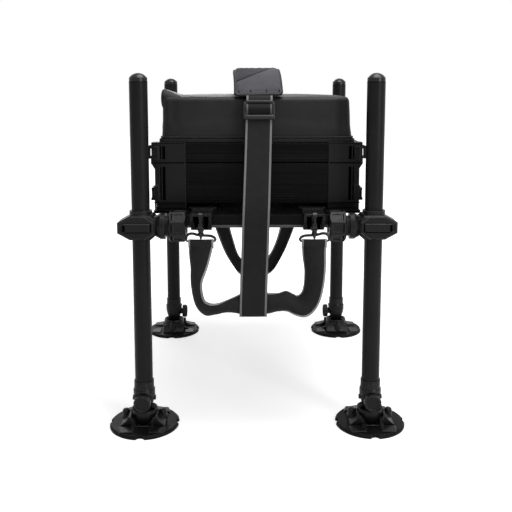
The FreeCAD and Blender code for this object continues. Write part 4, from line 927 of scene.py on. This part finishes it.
# Outer edge x and z, inner edge x and z, tilt out of the plane
RIGHT_YOKE = [
    (-134, 389, -87, 389, 4), (-136, 372, -91, 370, 8), (-137, 345, -101, 343, 22),
    (-136, 315, -114, 314, 34), (-132, 280, -114, 288, 36), (-124, 250, -107, 272, 34),
    (-105, 233, -94, 264, 28), (-84, 240, -80, 260, 22), (-66, 247, -64, 264, 12),
    (-46, 243, -44, 276, 4), (-28, 241, -26, 285, 0), (0, 241, 0, 286, 0), (24, 243, 26, 284, 0),
    (40, 249, 42, 284, -6), (58, 252, 57, 289, -14), (76, 245, 70, 283, -20),
    (92, 242, 79, 279, -22), (106, 248, 87, 285, -20), (119, 266, 91, 297, -20),
    (127, 295, 92, 315, -20), (131, 330, 91, 335, -18), (133, 362, 88, 362, -12),
    (134, 389, 87, 389, -4),
]
LEFT_YOKE = [
    (-134, 389, -87, 389, 4), (-131, 360, -85, 358, 10), (-121, 318, -78, 312, 16),
    (-106, 272, -66, 262, 20), (-88, 226, -52, 216, 22), (-66, 184, -38, 196, 14),
    (-44, 158, -30, 197, 6), (-20, 154, -18, 199, 0), (10, 154, 10, 199, 0),
    (34, 156, 30, 198, 4), (60, 176, 40, 202, 14), (84, 220, 54, 224, 22),
    (103, 268, 68, 264, 20), (119, 316, 78, 312, 16), (130, 360, 85, 358, 10),
    (134, 389, 87, 389, 4),
]


def hang_yoke(side_name, rows, side):
    stations = []
    for outer_x, outer_z, inner_x, inner_z, tilt in rows:
        chord = math.hypot(outer_x - inner_x, outer_z - inner_z)
        most = math.sqrt(max(YOKE_WIDTH**2 - chord**2, 0.0)) * 0.98
        depth = math.copysign(min(abs(tilt), most), tilt)
        centre = ((outer_x + inner_x) / 2, side * HARNESS_Y, (outer_z + inner_z) / 2)
        edge = ((inner_x - outer_x) / 2, side * depth / 2, (inner_z - outer_z) / 2)
        stations.append((centre, edge, (0.0, side, 0.2)))
    made = ribbon(f"harness_yoke_{side_name}", stations, YOKE_WIDTH, YOKE_THICK, YOKE, wobble=0.8)
    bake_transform(made)
    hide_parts(f"{side_name}_yoke")


hang_yoke("right", RIGHT_YOKE, -1)
hang_yoke("left", LEFT_YOKE, 1)


TURN_WIDTH, TURN_THICK, TURN_OUT = 49.4, 1.8, 2.9


def yoke_turn(name, x, side):
    """The sewn end of a yoke, turned round the lower wire of a ring."""
    y = side * HARNESS_Y
    out = side * TURN_OUT
    line = [(y + out * 0.75, 380.0), (y + out * 0.85, 384.0), (y + out, 388.0)]
    line += [(y + out * math.cos(math.pi * k / 8),
              RING_BAR_Z + TURN_OUT * math.sin(math.pi * k / 8)) for k in range(9)]
    line += [(y - out, 387.0), (y - out * 0.85, 382.0), (y - out * 0.75, 376.0)]
    half = (TURN_WIDTH / 2 - 0.1, 0.0, 0.0)
    stations = [((x, py, pz), half, (0.0, side, 0.0)) for py, pz in line]
    made = ribbon(name, stations, TURN_WIDTH, TURN_THICK, YOKE, steps=2, cuts=8)
    carry(made, "frame")
    for z, proud in ((385.5, 3.9), (381.0, 3.5)):
        line = [(x + across, y + side * proud, z) for across in range(-22, 23, 2)]
        carry(stitches(f"{name}_thread_{int(z)}", line, 2.6, 1.6, 0.45), "frame")


for side, side_name in SIDES:
    for x, end_name in HOOKS:
        yoke_turn(f"yoke_turn_{side_name}_{end_name}", x, side)


# Buckle: rounded bars in the place of the plain ladder

SEAT_EDGE_Y, SEAT_EDGE_Z = -229.4, 662.7
BUCKLE_LEAN = math.atan2(310.6 - 227.0, 663.0 - 452.0)


def on_slope(x, down, out):
    """A point on the strap's slope below the seat's edge: down along it and out from it."""
    y = SEAT_EDGE_Y - down * math.sin(BUCKLE_LEAN) - out * math.cos(BUCKLE_LEAN)
    z = SEAT_EDGE_Z - down * math.cos(BUCKLE_LEAN) + out * math.sin(BUCKLE_LEAN)
    return x, y, z


def rounded_bar(name, start, end, out, wide, thick, sections, taper):
    """A bar of the buckle between two places (x, down), which is smaller at its two ends."""
    verts = []
    level = start[1] == end[1]
    for i in range(sections + 1):
        t = i / sections
        size = 1.0 - taper * max(0.0, 1 - min(t, 1 - t) * sections)
        x, down = (a + (b - a) * t for a, b in zip(start, end))
        for angle in angles(12):
            c, s = math.cos(angle), math.sin(angle)
            across = wide / 2 * size * math.copysign(abs(c) ** 0.6, c)
            proud = out + thick / 2 * size * math.copysign(abs(s) ** 0.6, s)
            place = (x, down + across, proud) if level else (x + across, down, proud)
            verts.append(mm(*on_slope(*place)))
    faces = skin(sections + 1, 12)
    made = new_object(name, verts, faces if level else flipped(faces), BUCKLE, sharp=50.0)
    carry(made, "seat_body")
    return made


CROSS_BAR, SIDE_BAR = (14, 0.28), (12, 0.25)  # sections and taper
top_bar = rounded_bar("buckle_top_bar", (-23.6, 3.0), (31.6, 3.0), 3.0, 5.4, 4.0, *CROSS_BAR)
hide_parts("strap_buckle")
rounded_bar("buckle_middle_bar", (-25.6, 19.0), (33.6, 19.0), 2.4, 4.0, 2.6, *CROSS_BAR)
rounded_bar("buckle_lower_bar", (-27.0, 36.5), (35.0, 36.5), 3.4, 10.0, 6.0, *CROSS_BAR)
rounded_bar("buckle_side_rear", (-25.0, 4.0), (-25.0, 39.5), 3.2, 6.6, 5.0, *SIDE_BAR)
rounded_bar("buckle_side_front", (33.0, 4.0), (33.0, 39.5), 3.2, 6.6, 5.0, *SIDE_BAR)

# The fold between the bars is drawn in the darkened webbing: painted shade.
FOLD_LINE = [(5.0, 0.9), (8.5, 2.4), (12.5, 5.4), (17.5, 7.6), (22.5, 7.2), (27.0, 4.6),
             (31.0, 1.6), (36.0, 0.8)]
FOLD_WIDTH, FOLD_THICK = 52.8, 1.8
fold_stations = [(on_slope(4.0, down, out), (FOLD_WIDTH / 2, 0.0, 0.0), (0.0, -1.0, 0.3))
                 for down, out in FOLD_LINE]
fold = ribbon("buckle_webbing", fold_stations, FOLD_WIDTH, FOLD_THICK, SHADED_FOLD, steps=5, cuts=10)
carry(fold, "seat_body")


# Legs and feet: raised forms on each disc, its socket, the knob's rim, the hood over the screw, a
# painted highlight on the disc's lower edge, painted shade in the cap's seam

CORNERS = {"front_left": (1, 1), "front_right": (1, -1), "rear_left": (-1, 1),
           "rear_right": (-1, -1)}
LEG_AT = (232.5, 285.0)
SCREW_Z = 57.0


def disc_forms():
    forms = Forms()
    for side in (-1, 1):
        wing = [(14, 6.5), (45, 6.5), (45, 11), (33, 22), (29, 30), (24, 30)]
        wing = [(side * x, z) for x, z in wing][::side]
        forms.prism(wing, -31.0, -3.0, drop=0.1)
        forms.prism(wing, 26.0, 3.0, drop=0.25)
        lobe = [(9, 6.5), (50, 6.5), (46, 10.5), (13, 12.0)]
        lobe = [(side * x, z) for x, z in lobe][::side]
        for end in (-1, 1):
            forms.prism(lobe, end * 57.0, end * 34.0, shrink=0.72, drop=0.35)
        forms.lathe([(0.1, 5), (8.2, 5), (7.6, 28), (6.6, 31.5), (3.5, 33.2), (0.1, 33.4)],
                    cx=side * 38.0, sides=24)
    return forms


def socket_forms():
    return Forms().lathe([(18.4, 20), (18.4, 27), (20.8, 30), (24.0, 34), (25.4, 35.6),
                          (26.4, 35.4), (27.5, 32), (27.9, 27), (27.8, 20), (26.4, 14),
                          (23.6, 9), (18.4, 8)])


def disc_rim_highlight_forms():
    """A painted highlight along the lower edge of the disc's near wings, as one line."""
    right = [(12.6, -31.4, 9.0), (14.6, -31.2, 10.2), (23.4, -30.9, 29.0)]
    return Forms().tube([(-x, y, z) for x, y, z in right[::-1]] + right, 0.75)


def knob_rim_forms():
    return Forms().tube([(15.2 * math.cos(t), -36.1, SCREW_Z + 15.2 * math.sin(t))
                         for t in angles(48)], 1.1, closed=True)


def hood_forms():
    forms = Forms()
    for radius, y, thick in ((20.2, -22.4, 1.3), (21.6, -19.8, 1.6)):
        arc = [math.radians(22 + 136 * k / 18) for k in range(19)]
        forms.tube([(radius * math.cos(t), y + 5.5 * math.cos(t) ** 2,
                     SCREW_Z + radius * 0.92 * math.sin(t)) for t in arc], thick)
    return forms


# A dark ring of painted shade in the seam under the leg's cap.
def cap_seam_shade_forms():
    low, high = LEG_SEAM_Z - 0.6, LEG_SEAM_Z + 0.6
    return Forms().lathe([(17.6, low), (18.25, low), (18.25, high), (17.6, high)])


LEG_PIECES = [
    ("disc_forms", disc_forms, FOOT, "disc_body", "foot_plastic", {"bevel": 1.0}),
    ("disc_socket", socket_forms, FOOT, "disc_body", "foot_plastic", {"sharp": 55.0}),
    ("disc_rim_highlight", disc_rim_highlight_forms, PAINTED_HIGHLIGHT, "disc_body", "foot_plastic", {}),
    ("screw_rim", knob_rim_forms, KNOB, "screw_body", "knob_plastic", {}),
    ("sleeve_hood", hood_forms, FOOT, "leg_body", "foot_plastic", {}),
    ("cap_seam_shade", cap_seam_shade_forms, RECESS_SHADE, "leg_body", "leg_satin_black", {}),
]
for corner, (sx, sy) in CORNERS.items():
    place = (sx * LEG_AT[0], sy * LEG_AT[1], 0.0)
    turn = 0.0 if sy < 0 else -90.0 * sx
    for label, forms, material, body, slot, options in LEG_PIECES:
        made = forms().build(f"{label}_{corner}", material, place, turn, **options)
        carry(made, f"{body}_{corner}")


# Clamps: painted highlight along edges and on the thread of the neck, painted shade in notches and
# grooves; the same on the nuts' edges

CLAMP_Z = 415.0
HOUSING_FACE, NUT_CORNER, NUT_FLAT = 29.1, 31.9, 29.9


def clamp_forms():
    # Pale cords of painted highlight along the housing's upper edges, its chamfers and the thread
    # of the neck; dark cords and plates of painted shade along its lower edge, in its notches and
    # round the neck.
    highlights, shades = Forms(), Forms()
    for face in (-1, 1):
        y = face * HOUSING_FACE
        highlights.tube([(-29.5, y, CLAMP_Z + 8.1), (21.0, y, CLAMP_Z + 8.1)], 0.75)
        shades.tube([(-29.5, y, CLAMP_Z - 8.4), (21.0, y, CLAMP_Z - 8.4)], 0.8)
        for x0, x1, half in ((-32.4, -27.6, 6.5), (21.6, 23.4, 7.5)):
            shades.plate(x0, x1, CLAMP_Z - half, CLAMP_Z + half, y, face * 28.0)
        for up in (-1, 1):
            highlights.tube([(9.0, face * 27.1, CLAMP_Z + up * 23.0),
                         (29.0, face * 27.1, CLAMP_Z + up * 10.0)], 0.7)
    shades.lathe_x([(38.2, 20.5), (39.7, 20.5), (39.7, 26.2), (38.9, 26.2)], CLAMP_Z)
    for x in (51.0, 53.4, 55.8):
        highlights.lathe_x([(x - 0.7, 19.8), (x + 0.7, 19.8), (x, 20.9)], CLAMP_Z)
    return highlights, shades


def across_flat(forms, flat, x, reach, radius):
    """A line across one flat of the nut."""
    middle = Vector((x, NUT_FLAT * math.cos(flat), CLAMP_Z + NUT_FLAT * math.sin(flat)))
    way = Vector((0, -math.sin(flat), math.cos(flat))) * reach
    forms.tube([middle - way, middle + way], radius)


def nut_forms():
    """Painted highlight along the nut's corners, a cord of painted shade across each flat, and two
    painted highlight lines across each of two opposite flats."""
    highlights, shades = Forms(), Forms()
    for k, flat in enumerate(angles(8)):
        corner = flat + math.pi / 8
        y, z = NUT_CORNER * math.cos(corner), CLAMP_Z + NUT_CORNER * math.sin(corner)
        highlights.tube([(60.5, y, z), (87.5, y, z)], 0.45)
        if k % 4 == 1:
            across_flat(highlights, flat, 66.9, 6.6, 0.7)
            across_flat(highlights, flat, 84.4, 6.6, 0.7)
        across_flat(shades, flat, 63.2, 8.0, 1.0)
    return highlights, shades


for corner, (sx, sy) in CORNERS.items():
    place = (sx * LEG_AT[0], sy * LEG_AT[1], 0.0)
    for pair, body, label, slot in ((clamp_forms(), "frame", "clamp", "clamp_black"),
                                    (nut_forms(), f"nut_body_{corner}", "nut", "knob_plastic")):
        # The bright forms are painted highlight, the dark ones painted shade.
        for forms, material, tone in zip(pair, (PAINTED_HIGHLIGHT, RECESS_SHADE), ("highlight", "gap")):
            made = forms.build(f"{label}_{tone}_{corner}", material, place, mirror=(-sx, -sy))
            carry(made, body)


# Rails, brackets and box corners: a pale strip of painted reflection along the extrusion's lower
# edge, and painted shade in recesses and slots

RAIL_HALF = 141.0
REFLECTION_LOW, REFLECTION_HIGH = 414.0, 419.2
BRACKET_RECESS = [(5.0, 412.0), (12.0, 412.0), (15.5, 432.0), (17.0, 438.5), (5.0, 438.5)]
BOX_FACES = (221.1, 223.3)
SLOT_HEIGHTS = ((457.2, 526.8), (542.7, 569.3))
SLOTS = ((199.6, 0.9), (192.6, 2.9))
SPLIT_HEIGHTS = ((451.0, 452.6), (534.2, 536.2), (575.4, 576.8))
SWIVEL = [(0.1, 422.0), (4.9, 421.0), (6.4, 417.5), (6.6, 412.5), (5.2, 409.6), (4.2, 408.6),
          (5.9, 407.4), (5.9, 405.0), (4.2, 403.2), (0.1, 402.8)]
EYE_Z, EYE_RADIUS, EYE_WIRE = 402.6, 5.4, 2.6
# Round wire, its outer shoulder higher than its inner one, thinner where the webbing turns
RING_OUTLINE = [(-12, 390.9), (-26.0, 390.9), (-28.6, 394.2), (-28.0, 400.4), (-23.0, 405.2),
                (-15.5, 406.0), (-7.0, 403.6), (0, 402.4), (8, 402.2), (19, 401.4), (26.2, 398.2),
                (28.2, 393.6), (26.0, 390.9), (12, 390.9)]
RING_WIRE, RING_TURNED_WIRE = 2.8, 2.0
RING_TURN_TOP = 393.4


def recess_shade_forms(side):
    """Dark sheets of painted shade: in the hollows beside each hook on its bracket, in the slots
    of the corner mouldings, and in the level lines between base, modules and lid."""
    forms = Forms()
    for x, _ in HOOKS:
        for across in (-1, 1):
            outline = [(x + across * reach, z) for reach, z in BRACKET_RECESS][::across]
            forms.prism(outline, *sorted((side * 303.0, side * 304.2)))
    near, far = (side * y for y in BOX_FACES)
    for low, high in SLOT_HEIGHTS:
        for end in (-1, 1):
            for x, half in SLOTS:
                forms.plate(end * x - half, end * x + half, low, high, near, far)
    for low, high in SPLIT_HEIGHTS:
        for x in (-182.0, 182.0):
            forms.plate(x - 32.0, x + 32.0, low, high, near, far)
    return forms


def swivel_forms():
    """The barrel under a hook, its trigger, and the eye that the ring hangs in."""
    forms = Forms().lathe(SWIVEL[::-1], sides=24)
    forms.tube([(-3.0, -2.0, 419.5), (-7.4, -2.5, 418.0), (-9.4, -2.5, 413.5)], 1.7)
    return forms.tube([(0.0, -EYE_RADIUS * math.cos(t), EYE_Z + EYE_RADIUS * math.sin(t))
                       for t in angles(20)], EYE_WIRE, closed=True)


def ring_forms(x):
    flip = -1 if x > 0 else 1
    outline = smooth_path([*RING_OUTLINE, RING_OUTLINE[0]], 4)[:-1]
    line = [(flip * px, 0.0, z) for px, z in outline]
    forms = Forms().tube(line, RING_TURNED_WIRE, closed=True)
    return forms.tube([point for point in line if point[2] > RING_TURN_TOP], RING_WIRE)


for side, side_name in SIDES:
    # A pale strip of painted reflection along the rail's lower edge, where it shows the white
    # floor.
    pale = Forms().plate(-RAIL_HALF, RAIL_HALF, REFLECTION_LOW, REFLECTION_HIGH, side * 297.0, side * 299.7)
    carry(pale.build(f"rail_reflection_{side_name}", RAIL_REFLECTION, bevel=0.8), "frame")
    recess_shade = recess_shade_forms(side).build(f"recesses_{side_name}", RECESS_SHADE)
    carry(recess_shade, "frame")
    for x, end_name in HOOKS:
        hook = f"{side_name}_{end_name}"
        place = (x, side * HARNESS_Y, 0.0)
        carry(swivel_forms().build(f"hook_swivel_{hook}", HARDWARE, place), "frame")
        ring = ring_forms(x).build(f"ring_{hook}", HARDWARE, place)
        carry(ring, "frame")
        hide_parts("harness_rings")


# Floor, light and background

FLOOR_HALF, FLOOR_Z = 9.0, -0.0004
floor_corners = [(x * FLOOR_HALF, y * FLOOR_HALF, FLOOR_Z)
                 for x, y in ((-1, -1), (1, -1), (1, 1), (-1, 1))]
paper = Shader("paper")
reach = paper.node("ShaderNodeVectorMath", {0: paper.place()}, operation="LENGTH").outputs["Value"]
paper.surface({
    "Base Color": (0.7, 0.7, 0.7, 1.0),
    "Roughness": 1.0,
    "Specular IOR Level": 0.0,
    "Emission Color": (1.0, 1.0, 1.0, 1.0),
    "Emission Strength": paper.math("MULTIPLY", paper.seen(),
                                    paper.range(reach, 0.45, 1.0, 0.58, 1.0)),
})
new_object("floor", floor_corners, [(0, 1, 2, 3)], paper.material)

WORLD_LIGHT = 0.3
world = bpy.data.worlds.new("studio")
world.use_nodes = True
bpy.context.scene.world = world
sky = Graph(world.node_tree)
background = sky.nodes["Background"]
sky.put(background.inputs["Color"], (1.0, 1.0, 1.0, 1.0))
sky.put(background.inputs["Strength"], sky.range(sky.seen(), 0.0, 1.0, WORLD_LIGHT, 1.0))


def area_light(name, at, target, size_x, size_y, watts):
    data = bpy.data.lights.new(name, "AREA")
    data.shape = "RECTANGLE"
    data.size, data.size_y = size_x, size_y
    data.energy = watts
    lamp = bpy.data.objects.new(name, data)
    lamp.location = at
    lamp.rotation_euler = (Vector(target) - Vector(at)).to_track_quat("-Z", "Y").to_euler()
    bpy.context.scene.collection.objects.link(lamp)


area_light("overhead", (0.3, -0.3, 2.3), (0.0, 0.0, 0.4), 1.3, 1.3, 40.0)
area_light("front_right", (1.5, -2.0, 1.2), (0.0, 0.0, 0.45), 0.6, 1.5, 26.0)
area_light("rear_fill", (-0.6, 2.2, 1.5), (0.0, 0.0, 0.5), 1.6, 1.2, 14.0)
